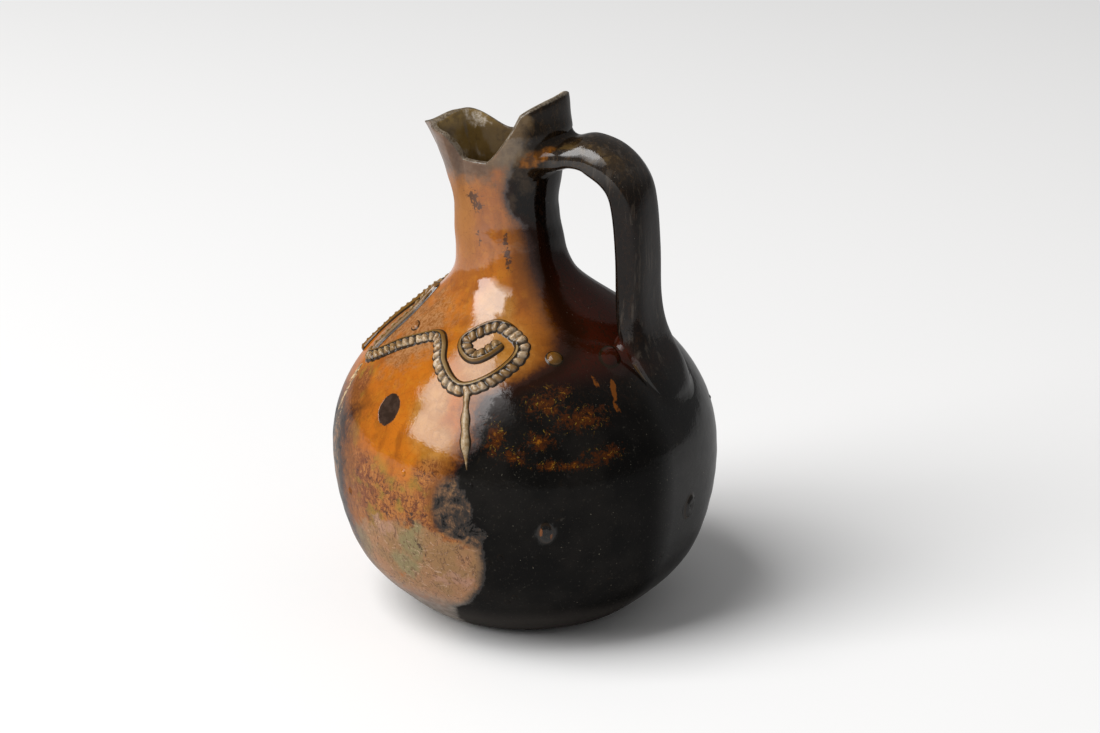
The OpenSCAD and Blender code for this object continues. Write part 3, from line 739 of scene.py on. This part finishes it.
px, py, pz = points.T
azimuth = np.degrees(np.arctan2(py, px - axis_x(pz)))
radius = np.hypot(px - axis_x(pz), py)
wall_radius = outer_radius(azimuth, pz)
on_strap = ease(3.0, 9.0, radius - wall_radius) * (px > 0)
inner_side = ease(1.6, 2.6, wall_radius - radius) * (pz > 5)
millimetres = np.radians(1) * np.maximum(wall_radius, 20)  # the length of one degree here


def spot(a0, z0, wide, tall, lean=0.0):
    """1 at a spot's middle, 0 at its edge, below 0 outside: one less the distance from the
    middle in shares of its half sizes, which are in mm. lean turns it, in degrees."""
    u, v = (azimuth - a0) * millimetres, pz - z0
    c, k = math.cos(math.radians(lean)), math.sin(math.radians(lean))
    return 1 - np.hypot((u * c + v * k) / wide, (v * c - u * k) / tall)


def spots(*rows):
    """The nearest of several spots."""
    return np.maximum.reduce([spot(*row) for row in rows])


# %% Smoke: border angle by height, its softness in millimetres, and how far it is frayed
border_z = [0, 22, 27, 40, 50, 60, 63, 67, 70, 85, 90, 100, 110, 127, 131, 136, 142, 150, 162,
            185, 194, 198, 203, 210, 222, 262]
border_a = [100, 92, 85, 79, 77.5, 77.5, 79, 90, 91, 91, 89, 85, 81, 80, 74, 62, 50, 44, 43,
            44, 48, 56, 64, 66, 60, 50]
soft_z = [0, 30, 60, 70, 90, 100, 120, 136, 150, 170, 190, 197, 200, 222, 235]
soft_mm = [3, 1.6, 1.6, 1.8, 3, 4, 5, 6, 6, 5.0, 4.0, 2.4, 1.4, 1.8, 7]
fray_z = [0, 60, 95, 120, 136, 150, 170, 190, 197, 222, 262]
fray_reach = [3, 3, 3.4, 3.0, 1.8, 1.0, 0.9, 1.4, 3.0, 3.0, 1.6]
far_z, far_a = [0, 60, 120, 150, 220, 262], [80, 84, 78, 52, 56, 57]
SMOKE_CAP, LEFT_CAP, FAR_SOFTNESS, STRAP_SMOKE, INSIDE_SMOKE = 4, 0.7, 5, 3.0, 0.2

border = np.where(azimuth > 0, np.interp(pz, far_z, far_a), np.interp(pz, border_z, border_a))
softness = np.where(azimuth > 0, FAR_SOFTNESS, np.interp(pz, soft_z, soft_mm))
smoke = np.clip((border - np.abs(azimuth)) * millimetres / softness, -SMOKE_CAP, SMOKE_CAP)
left_edge = np.minimum.reduce([
    (-azimuth - 134) * millimetres / 9, (174 + azimuth) * millimetres / 9,
    (pz - 44) / 10, (104 - pz) / 8])
smoke = np.maximum(smoke, np.clip(left_edge, -SMOKE_CAP, LEFT_CAP))
smoke = np.where(on_strap > 0.4, STRAP_SMOKE, smoke)
smoke = smoke * (1 - inner_side) + inner_side * INSIDE_SMOKE
speckled = spots((-85, 79, 13, 19), (-80, 68, 10, 9), (-142, 80, 12, 30))
smoke = smoke * (1 - 0.9 * ease(0, 0.5, speckled)) - 0.25 * ease(0, 0.5, speckled)
fray = np.interp(pz, fray_z, fray_reach) + 3.0 * ease(0, 0.5, speckled)

# %% Spots of stain, bare clay, wear and painted light: angle, height, half width, half height, lean
wall_fields = {
    "stain": spots(
        (-67.5, 180, 2.2, 7), (-66.5, 187, 1.6, 4), (-103, 207, 5, 4, -30), (-98, 203, 4, 4, -30),
        (-95, 186, 1.2, 3), (-97, 190, 1.8, 2.2), (-97, 57, 1.8, 5, 20), (-99, 71, 2.2, 4.5),
        (-140, 100, 5, 4), (120, 190, 6, 9), (140, 120, 8, 6), (96, 210, 5, 6), (158, 70, 7, 9)),
    "scraped": spots(
        (-80, 52, 20, 12), (-87, 52, 18, 14), (-95, 58, 16, 12), (-104, 54, 26, 16),
        (-97, 40, 24, 12), (-118, 44, 24, 18), (-86, 36, 14, 9), (-72, 50, 22, 17),
        (-92, 32, 34, 12), (-122, 36, 26, 14), (128, 34, 90, 15), (112, 48, 24, 12),
        (160, 50, 26, 14), (-160, 40, 30, 14)),
    # places where amber breaks through the black, the worm-shaped runs in it, and brown marks on the
    # low lump that are painted highlight
    "breaking": spots(
        (-53, 101, 25, 3.2, -4), (-68, 106, 9, 5, -15), (-57, 126, 14, 8), (-46, 119, 18, 7),
        (-60, 112, 10, 6), (-40, 104, 14, 5), (-50, 130, 7, 4), (44, 112, 20, 8),
        (70, 84, 14, 10), (-74, 113, 8, 10)),
    "runs_and_lump_highlight": spots(
        (-36.6, 131.5, 1.3, 3.6, 10), (-31, 127, 1.7, 4.5, -18), (-32.2, 121, 1.5, 3.0, 20),
        (-29.8, 129.5, 1.6, 2.4), (-60.6, 71, 1.3, 2.4), (-57.4, 68.5, 1.0, 1.8)),
    "matte": spot(-114, 115.7, 6.9, 6.9),
    "rust": spots(
        (-138, 112, 12, 14), (-132, 96, 12, 16), (-120, 82, 24, 14), (-104, 76, 24, 14),
        (-114, 64, 26, 12), (-92, 92, 12, 10), (-84, 78, 16, 18), (-90, 70, 16, 14),
        (125, 70, 44, 22), (112, 104, 22, 16), (165, 84, 36, 26), (140, 96, 30, 12),
        (-165, 90, 26, 22)),
    "chipped": spots((-146, 108, 2.0, 12, -4), (-143, 99, 1.3, 8, -10), (-148, 118, 2.4, 6)),
    "soot": np.minimum((pz - 213) / 7, (np.abs(azimuth) - 74) * millimetres / 6) * (1 - inner_side),
    "greenish": spots(
        (-101, 57, 9, 12, 10), (-104, 44, 11, 8), (-128, 46, 12, 12), (-98, 66, 6, 5)),
    "pink": spots((-85, 42, 9, 6, -25), (-92, 40, 7, 4), (-112, 62, 12, 8)),
    # pale coil, hook and drip: partly worn glaze, partly painted reflection where the window lies in
    # the scroll
    "pale_wear_and_reflection": spots(
        (-88, 132, 16, 10), (-108, 139, 26, 9), (-83, 115, 7, 19), (-66, 150, 8, 9),
        (90, 132, 20, 16)),
    "dusty": spots((-126, 143, 22, 22), (-152, 142, 30, 18), (124, 143, 18, 20)),
    # painted reflection: paler, tanner amber where the window's reflection lies on the belly and the
    # neck's foot
    "painted_reflection": spots(
        (-98, 120, 11, 20), (-92, 106, 12, 13), (-77, 141, 24, 17), (-82, 158, 12, 12)),
    # browned clay round the handle's root
    "flank": spots(
        (-62, 233, 9, 10, 35), (-70, 227, 8, 6), (-54, 229, 8, 6), (-56, 241, 6, 9, 35),
        (-48, 246, 4, 7, 35), (62, 233, 10, 10), (-76, 226, 7, 5)),
    "ember": spots(
        (-38, 228, 9, 4, 8), (-28, 229.5, 7, 3.5, 8), (-46, 225, 6, 3), (36, 228, 9, 4)),
    "grey_root": spots(
        (-52, 219, 8, 5), (-44, 213, 6, 8), (-58, 206, 4, 8), (-60, 219, 5, 5)),
}
for name, values in wall_fields.items():
    field(name, values * (1 - inner_side) - inner_side - on_strap)

# %% Fields that lie on the strap and inside too
lumps = ease(0, 0.3, spots((-59, 70, 5, 6), (-8.5, 66, 6, 7), (-24, 139, 7, 8)))
lit_belly = ease(-30, -4, azimuth) * ease(140, 100, azimuth) * ease(150, 130, pz)
strap_edge = ease(-6, -10, py) * ease(-16.5, -13, py)
other_fields = {name: np.concatenate(skins[name]) for name in ("crevice_pool_and_shade", "coil", "worn")} | {
    "smoke": smoke, "fray": fray, "inside": inner_side, "strap": on_strap, "speckled": speckled,
    # painted sheen: tan on the upper neck's left side, where a rim reflection lies
    "painted_neck_sheen": ease(160, 195, pz) * ease(226, 205, pz) * ease(-88, -115, azimuth),
    # tan along the strap's near upper edge: partly tan streaks in the glaze, partly painted highlight
    "tan_edge_and_highlight": ease(0.1, 0.5, on_strap) * ease(216, 230, pz) * strap_edge,
    "polish": lumps + lit_belly + on_strap * ease(212, 226, pz),
    # painted highlight: a pale patch on the far wall inside the mouth
    "painted_mouth_highlight": spots((143, 232, 8, 5, 20), (152, 235, 4, 3)) * inner_side - on_strap,
}
for name, values in other_fields.items():
    field(name, values)
print("fields", len(wall_fields) + len(other_fields))

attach(pitcher, "root")
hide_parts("pitcher")

# %% [markdown]
# ## Small helpers for shader nodes
#
# A material is a graph of small steps. One helper adds a node and fills or links its inputs. The
# rest say what a glaze needs in few words: a signal is a number that varies over the pot, a
# mottle is noise whose size is given in millimetres, and colours are laid over one another,
# each by the product of a few signals.

# %% Shader helpers
SRGB_KNEE, SRGB_SLOPE, SRGB_SHIFT, SRGB_POWER = 0.04045, 12.92, 0.055, 2.4


def linear(hex_colour):
    """sRGB hex to linear: dark values are divided by the slope, the others are moved by the
    shift, scaled back and raised to the power."""
    c = [int(hex_colour[i : i + 2], 16) / 255 for i in (1, 3, 5)]
    return tuple(x / SRGB_SLOPE if x <= SRGB_KNEE
                 else ((x + SRGB_SHIFT) / (1 + SRGB_SHIFT)) ** SRGB_POWER for x in c) + (1.0,)


def node(tree, kind, inputs=None, **settings):
    """Adds a node, sets its properties, and fills or links its inputs. A colour may be hex."""
    made = tree.nodes.new(kind)
    for key, value in settings.items():
        setattr(made, key, value)
    for key, value in (inputs or {}).items():
        socket = made.inputs[key]
        if isinstance(value, bpy.types.NodeSocket):
            tree.links.new(value, socket)
        else:
            socket.default_value = linear(value) if isinstance(value, str) else value
    return made


glaze = bpy.data.materials.new("lead_glaze_over_earthenware")
glaze.use_nodes = True
tree = glaze.node_tree
tree.nodes.clear()
where = node(tree, "ShaderNodeTexCoord").outputs["Object"]


def mottle(millimetre, detail=3.0, rough=0.55, distort=0.0, stretch=(1, 1, 1), shift=0.0):
    """Noise whose patches are about so many millimetres wide, between 0 and 1."""
    place = node(tree, "ShaderNodeMapping", {
        "Vector": where, "Scale": stretch, "Location": (shift, shift * 0.7, -shift)}).outputs[0]
    return node(tree, "ShaderNodeTexNoise", {
        "Vector": place, "Scale": 1000 / millimetre, "Detail": detail,
        "Roughness": rough, "Distortion": distort}).outputs[0]


def signal(part):
    """What a part stands for. A word is a field of the mesh, a list is the product of its
    parts, and (part, low, high) is a smooth step from 0 at low to 1 at high, or between two
    more numbers. Anything else, a socket or a number, is itself."""
    if isinstance(part, str):
        return node(tree, "ShaderNodeAttribute", attribute_name=part).outputs["Fac"]
    if isinstance(part, list):
        return joined("MULTIPLY", *part)
    if isinstance(part, tuple):
        value, low, high, from_value, to_value = part if len(part) == 5 else (*part, 0.0, 1.0)
        return node(tree, "ShaderNodeMapRange", {
            "Value": signal(value), "From Min": low, "From Max": high,
            "To Min": from_value, "To Max": to_value}, interpolation_type="SMOOTHSTEP").outputs[0]
    return part


def joined(operation, *parts):
    """The parts joined by one kind of arithmetic, first to last."""
    total, *rest = (signal(part) for part in parts)
    for part in rest:
        total = node(tree, "ShaderNodeMath", {0: total, 1: part}, operation=operation).outputs[0]
    return total


def weighed(start, *pairs):
    """start plus the sum of weight times part."""
    total = signal(start)
    for weight, part in pairs:
        total = node(tree, "ShaderNodeMath", {0: signal(part), 1: signal(weight), 2: total},
                     operation="MULTIPLY_ADD").outputs[0]
    return total


def frayed(part, noise, reach):
    """A part moved by noise that swings about 0: part + reach * (noise - 0.5)."""
    return weighed(part, (reach, weighed(-0.5, (1.0, noise))))


def ragged(name, size, reach, low, high, shift=0.0):
    """A smooth step of a field whose edge is broken by a fine mottle."""
    return signal((frayed(name, mottle(size, 4.0, 0.6, 0.3, shift=shift), reach), low, high))


def laid(under, *layers):
    """Colours laid over one another: a layer is its colour, then the parts whose product is
    its share."""
    for colour, *share in layers:
        under = node(tree, "ShaderNodeMix", {0: joined("MULTIPLY", *share), 6: under, 7: colour},
                     data_type="RGBA", blend_type="MIX", clamp_factor=True).outputs[2]
    return under


# %% [markdown]
# ## The lead glaze
#
# The real finish is a lead glaze: clear glass stained amber by iron, poured over earthenware and
# fired, with a soft deep gloss and a high index. From below upwards it is amber that varies from
# honey to rust, tan where it runs thin, brown and black where smoke lay, amber flecks that break
# through the black, stains, scraped clay low down, one matte oval where the glaze flaked off,
# and a darkening in every crevice that is partly pooled glaze and partly painted shade. Some
# colours are painted light, in part or whole: paler amber under the window's reflection, a tan
# sheen on the neck, pale coil teeth, a tan edge on the strap, grey streaks on it, pale specks,
# marks on a lump, and the inside of the mouth with its shade and a highlight. Each is a colour
# laid over the ones below it by a ragged share. The heights below are in metres and the sizes
# of mottles in millimetres.

# %% Mottles that many layers share
height = node(tree, "ShaderNodeSeparateXYZ", {"Vector": where}).outputs[2]
slow = mottle(34, 2, 0.5, 0.4)
fine = mottle(5, 4, 0.65, 0.2, shift=0.3)
grain = mottle(0.9, 2, 0.7, shift=0.7)
runs = mottle(9, 3, 0.6, 0.5, stretch=(1, 1, 0.28), shift=0.5)
scratch = mottle(2.4, 5, 0.78, 1.4, stretch=(1, 1, 0.5), shift=1.1)
scratch_two = mottle(3.4, 5, 0.78, 2.2, stretch=(0.6, 0.6, 1), shift=1.9)

# %% Amber, with paler amber painted where the window's reflection lies, a tan painted sheen on the neck's left side, and dust on the shoulder
dust = ragged("dusty", 8, 1.6, 0.0, 0.7, shift=2.7)
amber = laid(
    "#AC6210",
    ("#904E0B", (slow, 0.35, 0.65)),
    ("#AE5F0E", (height, 0.165, 0.125, 0, 0.6)),
    ("#B07018", (fine, 0.45, 0.72, 0, 0.5)),
    ("#723A08", (runs, 0.48, 0.70, 0, 0.55)),
    # painted sheen: tan on the upper neck's left side
    ("#98683A", "painted_neck_sheen", 0.75),
    # painted reflection: paler, tanner amber where the window's reflection lies
    (laid("#96651E", ("#A87838", (fine, 0.4, 0.65))), ("painted_reflection", -0.1, 0.5, 0, 0.75)),
    (laid("#9A7450", ("#6A4424", (scratch, 0.42, 0.58))), dust, 0.75),
    ("#52290A", (grain, 0.58, 0.72, 0, 0.4)))

# %% Rust-brown scratches and mottling where the glaze is thin on the belly
thin = signal(("rust", -0.15, 0.35))
amber = laid(
    amber,
    (laid("#96602F", ("#86552F", (slow, 0.4, 0.6))), thin, 0.7),
    ("#6E3A1C", thin, (mottle(12, 4, 0.7, 0.6, shift=1.3), 0.5, 0.62, 0, 0.7)),
    ("#5E2C14", thin, (scratch, 0.50, 0.57, 0, 0.85)),
    ("#38190D", thin, (scratch_two, 0.54, 0.60, 0, 0.85)),
    ("#B47838", thin, (scratch, 0.43, 0.36, 0, 0.75)),
    ("#84701E", (mottle(13, 3, 0.6, shift=2.3), 0.50, 0.64), ("rust", -0.4, 0.2, 0, 0.5)))

# %% Scraped clay low on the belly: tan, greenish grey and pink
clay = laid(
    "#986C48",
    ("#8C6840", (mottle(17, 3, 0.6, 0.4, shift=9.2), 0.42, 0.6)),
    ("#80724C", ragged("greenish", 6, 1.6, -0.1, 0.6, shift=9.5)),
    ("#AA806E", ragged("pink", 4, 2.4, 0.1, 0.7, shift=9.9), 0.5),
    ("#5A3A26", (scratch, 0.52, 0.60, 0, 0.8)),
    ("#BC9A80", (scratch_two, 0.43, 0.36, 0, 0.65)))
bare = ragged("scraped", 7, 1.3, 0.0, 0.30, shift=11.8)
amber = laid(amber, (clay, bare))

# %% Smoke: amber turns brown, then red-brown, then black
wander = frayed("smoke", mottle(6, 4, 0.68, 0.5, shift=3.1), "fray")
wander = frayed(wander, scratch, [0.6, "fray"])
mouth = signal((height, 0.208, 0.226))
upper = signal((height, 0.112, 0.138))
shoulder = signal([(height, 0.128, 0.142), (height, 0.185, 0.165), weighed(1.0, (-1.0, "strap"))])
dulled = joined("MAXIMUM", bare, ("speckled", 0.0, 0.35))
browned = laid("#6E3C08", ("#5A4428", mouth), ("#6A5038", dulled))
reddened = laid("#2E1306", ("#32261A", mouth), ("#2A2018", dulled))
scorched = laid(
    "#0C0806", ("#381206", shoulder), ("#1C140C", mouth),
    (laid("#22140A", ("#3A2A18", mouth)), (scratch, 0.5, 0.62)))
black = laid(
    "#0D0C0B",
    ("#181614", (mottle(26, 3, 0.6, shift=4.2), 0.4, 0.7)),
    ("#3E3A34", (mottle(1.6, 3, 0.7, shift=4.9), 0.60, 0.72, 0, 0.5)),
    (scorched, upper, 0.85))
flecks = weighed(0.0, (0.5, scratch), (0.6, mottle(4.2, 5, 0.74, 1.2, shift=5.5)), (0.22, "breaking"))
colour = laid(
    amber,
    (browned, (wander, -2.8, -0.7, 0, 0.85)),
    (reddened, (wander, -1.2, 0.35)),
    (laid(black, ("#1E0C04", upper, (height, 0.222, 0.206))), (wander, 0.0, 1.1)),
    (black, (wander, 1.2, 3.4)),
    # pale specks on the black: partly the glaze's own specks, partly painted glints
    ("#857E70", (mottle(1.2, 2, 0.6, shift=5.2), 0.70, 0.76, 0, 0.6),
     (mottle(15, 2, 0.5, shift=5.3), 0.42, 0.62), (wander, 0.5, 1.5)),
    # amber and rust breaking through the black
    ("#42200A", (flecks, 0.61, 0.74, 0, 0.85)),
    ("#825012", (flecks, 0.76, 0.84, 0, 0.85)),
    ("#A08028", (mottle(2.4, 4, 0.7, 1.0, shift=6.4), 0.60, 0.68), ("breaking", 0.0, 0.5), 0.6),
    # worm-shaped runs, and brown marks on the low lump that are painted highlight
    ("#663810", ragged("runs_and_lump_highlight", 2.0, 0.9, 0.05, 0.35, shift=7.0)))

# %% Soot under the pouring lip, stains, browned clay at the handle's root, and the strap, whose grey streaks are partly painted reflection and whose tan near edge is partly painted highlight
sooty = signal([ragged("soot", 5, 1.8, -0.4, 0.9, shift=7.3), 0.85])
stained = weighed(mottle(1.9, 4, 0.75, 0.3, shift=7.7), (0.22, "stain"))
edge = frayed("tan_edge_and_highlight", mottle(5, 4, 0.68, 0.8, shift=8.8), 1.9)
streaks_and_reflection = mottle(3, 3, 0.7, 0.4, stretch=(1, 1, 0.12), shift=8.6)
colour = laid(
    colour,
    (laid("#5C4E40", ("#453A30", (fine, 0.4, 0.62))), sooty),
    ("#38241A", (stained, 0.56, 0.62), 0.85),
    ("#4A3C2E", ragged("grey_root", 3, 2.0, 0.1, 0.9, shift=8.4), 0.55),
    (laid("#5E4B34", ("#6E5A40", (fine, 0.4, 0.62))),
     ragged("flank", 5, 1.3, -0.1, 0.7, shift=8.1), 0.9),
    (laid("#7C4A12", ("#4A2C0E", (fine, 0.42, 0.6))), ragged("ember", 4, 1.2, 0.0, 0.6, shift=8.9)),
    ("#160E08", "strap", (fine, 0.45, 0.7, 0, 0.8)),
    # grey streaks on the strap: partly streaky glaze, partly painted reflection
    ("#403830", "strap", (streaks_and_reflection, 0.54, 0.66, 0, 0.55)),
    # tan along the strap's near upper edge: partly tan glaze, partly painted highlight
    (laid("#33240F", ("#5A4626", (fine, 0.45, 0.6))), (edge, 0.2, 1.3, 0, 0.7)))

# %% The foot grey with dust, the matte oval, the chips at the far left, the inside with its painted shade and painted highlight
oval = ragged("matte", 3.0, 0.35, 0.02, 0.10, shift=12.6)
# painted highlight: pale and mottled, on the far wall inside the mouth
mouth_highlight_paint = laid("#D8CCBC", ("#A8987E", (grain, 0.4, 0.6)))
# inside the mouth: olive amber, lighter near the lip and darker further down, a painted shade
inner = laid(
    "#A08244",
    ("#5C4826", (height, 0.2405, 0.2270)),
    ("#40301A", (mottle(8, 4, 0.65, shift=14.0), 0.48, 0.66, 0, 0.6)),
    (mouth_highlight_paint, ragged("painted_mouth_highlight", 3, 1.6, 0.15, 0.75, shift=14.3), "inside", 0.85))
colour = laid(
    colour,
    ("#3A3633", (height, 0.026, 0.010, 0, 0.75)),
    (laid("#665E56", ("#7C746A", (fine, 0.4, 0.6))),
     (height, 0.032, 0.018), (wander, 1.6, -0.6), 0.85),
    (laid("#2C2019", ("#3A2C24", (fine, 0.4, 0.6))), oval),
    (laid("#BFA478", ("#4C2C16", (scratch, 0.45, 0.55))),
     ragged("chipped", 2.6, 1.6, 0.1, 0.3, shift=13.0)),
    (inner, "inside"))

# %% Coils: an olive-brown ridge beside pale teeth, partly worn glaze and partly painted reflection; then crevices, partly pooled glaze and partly painted shade; and the worn rim
# ridge and teeth are paler where the window's reflection lies: partly worn glaze, partly painted
# reflection; the teeth's pale mottle is partly painted highlight
ridge = laid("#6A4C1C", ("#94805A", ("pale_wear_and_reflection", 0.0, 0.6, 0, 0.7)))
teeth = laid(
    "#7C5E38",
    ("#907650", (fine, 0.4, 0.65)),
    ("#B49E78", (mottle(2.6, 3, 0.7, shift=14.6), 0.52, 0.64, 0, 0.7)),
    ("#5A3E20", ("smoke", -4.0, -1.6, 0, 0.75)),
    (laid("#D2C0A6", ("#9A7A54", (mottle(2.0, 3, 0.7, shift=15.6), 0.42, 0.6))),
     ragged("pale_wear_and_reflection", 5, 1.2, -0.1, 0.6, shift=14.9), 0.75))
rim_worn = signal((frayed("worn", mottle(3, 4, 0.7, shift=15.2), 1.3), 0.35, 0.8))
colour = laid(
    colour,
    (laid(ridge, (teeth, ("coil", 0.6, 0.9))), ("coil", 0.05, 0.5), (wander, 2.2, 0.6, 0.2, 0.92)),
    # darker in crevices, at the feet of coils, pellets, blisters and the drip and in the notches:
    # partly pooled glaze, partly painted shade
    ("#1E1409", ("crevice_pool_and_shade", 0.06, 0.6, 0, 0.95)),
    (laid("#7C7264", ("#4A4034", (scratch, 0.42, 0.56))), rim_worn, 0.85))

# %% Gloss and roughness: a clear coat that wear, dust and soot take away
# A lead glaze bends light more than window glass does, 1.6 to 1.9, and melts smooth, so its
# reflections are bright and sharp; the fired clay under it only scatters.
GLAZE_INDEX, CLAY_INDEX, GLAZE_ROUGHNESS = 1.75, 1.5, 0.07
FULL_GLOSS, BODY_ROUGHNESS, DULL_ROUGHNESS = 0.8, 0.45, 0.35
dull = joined(
    "MAXIMUM", oval, [bare, 0.6], [rim_worn, 0.6], [sooty, 0.5],
    [joined("MAXIMUM", "painted_neck_sheen", dust), 0.85], [thin, 0.5],
    [(weighed(0.0, (0.5, grain), (0.5, fine)), 0.56, 0.7), 0.4])
worn_black = [(wander, 0.0, 1.2), (height, 0.145, 0.110, 0.72, 0.92), ("polish", 0.0, 1.0, 1.0, 0.35)]
worn_belly = [(height, 0.158, 0.145, 0, 0.58), ("painted_reflection", -0.1, 0.6, 1.0, 0.7)]
gloss_lost = joined("MAXIMUM", [dull, 0.9], worn_black, worn_belly)
gloss = signal([weighed(1.0, (-1.0, gloss_lost)), FULL_GLOSS])
roughness = weighed(BODY_ROUGHNESS, (DULL_ROUGHNESS, dull))

# %% Crackle, and relief in metres
CRACKLE = 6.5  # mm between cracks
cells = node(tree, "ShaderNodeTexVoronoi", {
    "Vector": where, "Scale": 1000 / CRACKLE, "Randomness": 1.0}, feature="DISTANCE_TO_EDGE").outputs[0]
colour = laid(colour, ("#3A2010", (cells, 0.03, 0.0), (wander, 1.0, -0.5), 0.16))
relief = weighed(
    0.0, (0.00005, mottle(1.4, 3, 0.6, shift=16.6)), (0.00014, mottle(7, 2, 0.5, shift=16.0)),
    (-0.00025, ("matte", 0.0, 0.1)), (0.00016, [("scraped", -0.1, 0.2), scratch]))
bump = node(tree, "ShaderNodeBump", {"Height": relief, "Strength": 1.0, "Distance": 1.0}).outputs[0]

surface = node(tree, "ShaderNodeBsdfPrincipled", {
    "Base Color": colour, "Roughness": roughness, "Normal": bump, "Coat Normal": bump,
    "Coat Weight": gloss, "Coat Roughness": GLAZE_ROUGHNESS, "Coat IOR": GLAZE_INDEX,
    "IOR": CLAY_INDEX, "Specular IOR Level": 0.0})
node(tree, "ShaderNodeOutputMaterial", {"Surface": surface.outputs[0]})
mesh.materials.append(glaze)
print("glaze nodes", len(tree.nodes))

# %% [markdown]
# ## Studio
#
# A pale floor that fills the whole view, a white room that is dim, and a tall window on the
# left, above and in front, made of two area lamps. Where a lamp must stand to be seen in the
# glaze follows from the mirror rule: the direction to the lamp is the view's direction turned
# over the surface's normal. Beside the window hangs a curtain that gives no light and is seen
# in the glaze alone, where it softens the window's edge.

# %% Camera at the photograph's angle
VIEW, TARGET, CAMERA_DISTANCE = (0.397, -0.852, 0.342), np.array([0.0044, 0.0, 0.118]), 1.25


def facing(direction):
    """Directions of a thing that stands that way and looks back: sideways, up and away."""
    away = unit(np.array(direction, float))
    sideways = unit(np.cross([0, 0, 1], away))
    return sideways, np.cross(away, sideways), away


def placed(name, data, directions, place):
    """Adds an object at a place with its own three directions."""
    m = np.eye(4)
    m[:3, :3], m[:3, 3] = np.transpose(directions), place
    made = bpy.data.objects.new(name, data)
    bpy.context.scene.collection.objects.link(made)
    made.matrix_world = Matrix(m.tolist())
    return made


camera_data = bpy.data.cameras.new("camera")
camera_data.lens, camera_data.sensor_width, camera_data.shift_x = 85, 36, 0.0136
camera_data.clip_end = 20
view = facing(VIEW)
camera = placed("camera", camera_data, view, TARGET + view[2] * CAMERA_DISTANCE)
bpy.context.scene.camera = camera
bpy.context.scene.view_settings.view_transform = "Standard"


# %% Floor and room
def sheet_mesh(name, x_low, x_high, y_half, material):
    """A flat rectangle, symmetrical in y."""
    corners = [(x_low, -y_half, 0), (x_high, -y_half, 0), (x_high, y_half, 0), (x_low, y_half, 0)]
    made = bpy.data.meshes.new(name)
    made.from_pydata(corners, [], [(0, 1, 2, 3)])
    made.materials.append(material)
    return made


def finish_of(name):
    """A material whose default shader is taken out, with its tree and its output's socket."""
    material = bpy.data.materials.new(name)
    material.use_nodes = True
    material.node_tree.nodes.remove(material.node_tree.nodes["Principled BSDF"])
    output = material.node_tree.nodes["Material Output"].inputs["Surface"]
    return material, material.node_tree, output


# uncoated paper: even and matte, a hair warmer than white
paper, sweep, paper_surface = finish_of("pale_paper")
plain = node(sweep, "ShaderNodeBsdfDiffuse", {"Color": (0.87, 0.866, 0.862, 1), "Roughness": 0.0})
sweep.links.new(plain.outputs[0], paper_surface)
floor_mesh = sheet_mesh("studio_floor", -6, 6, 6, paper)
floor = bpy.data.objects.new("studio_floor", floor_mesh)
bpy.context.scene.collection.objects.link(floor)

ROOM_LEVEL = 0.28
world = bpy.data.worlds.new("studio")
bpy.context.scene.world = world
world.use_nodes = True
sky = world.node_tree.nodes["Background"].inputs
sky["Strength"].default_value, sky["Color"].default_value = ROOM_LEVEL, (1, 1, 1, 1)
world.cycles.sampling_method = "NONE"

# %% The window and its curtain
WINDOW, WINDOW_DISTANCE, AIM = facing((-0.50, -0.42, 0.70)), 4.2, np.array([0, 0, 0.13])


def lamp(name, size, level, slide, lift):
    """Area lamp in the window's plane, slid sideways and lifted in it. Its energy grows with
    its area, so that two lamps of one level look equally bright."""
    data = bpy.data.lights.new(name, "AREA")
    data.shape, data.size, data.size_y = "RECTANGLE", *size
    data.energy = math.pi * size[0] * size[1] * level
    sideways, up, away = WINDOW
    place = AIM + away * WINDOW_DISTANCE + sideways * slide + up * lift
    placed(name, data, WINDOW, place).visible_camera = False


lamp("lamp_window", (3.0, 2.8), 6.9, slide=0.39, lift=0.84)
lamp("lamp_window_low", (2.2, 1.68), 6.6, slide=0.79, lift=-1.4)

# thin white cloth, bright beside the window and dark at its far edge
CURTAIN_NEAR, CURTAIN_FAR, CURTAIN_DARK, CURTAIN_HALF, CURTAIN_LEVEL = 1.89, 3.85, 3.8, 2.24, 4.0
cloth, folds, cloth_surface = finish_of("white_curtain")
cloth.cycles.emission_sampling = "NONE"
across = node(folds, "ShaderNodeSeparateXYZ", {
    "Vector": node(folds, "ShaderNodeTexCoord").outputs["Object"]}).outputs[0]
fall = node(folds, "ShaderNodeMapRange", {
    "Value": across, "From Min": CURTAIN_NEAR, "From Max": CURTAIN_DARK,
    "To Min": CURTAIN_LEVEL, "To Max": 0.0}).outputs[0]
lit = node(folds, "ShaderNodeEmission", {"Strength": fall})
folds.links.new(lit.outputs[0], cloth_surface)
curtain_mesh = sheet_mesh("studio_curtain", CURTAIN_NEAR, CURTAIN_FAR, CURTAIN_HALF, cloth)
curtain = placed("studio_curtain", curtain_mesh, WINDOW, AIM + WINDOW[2] * WINDOW_DISTANCE)
curtain.visible_camera = curtain.visible_diffuse = False
curtain.visible_shadow = curtain.visible_transmission = False
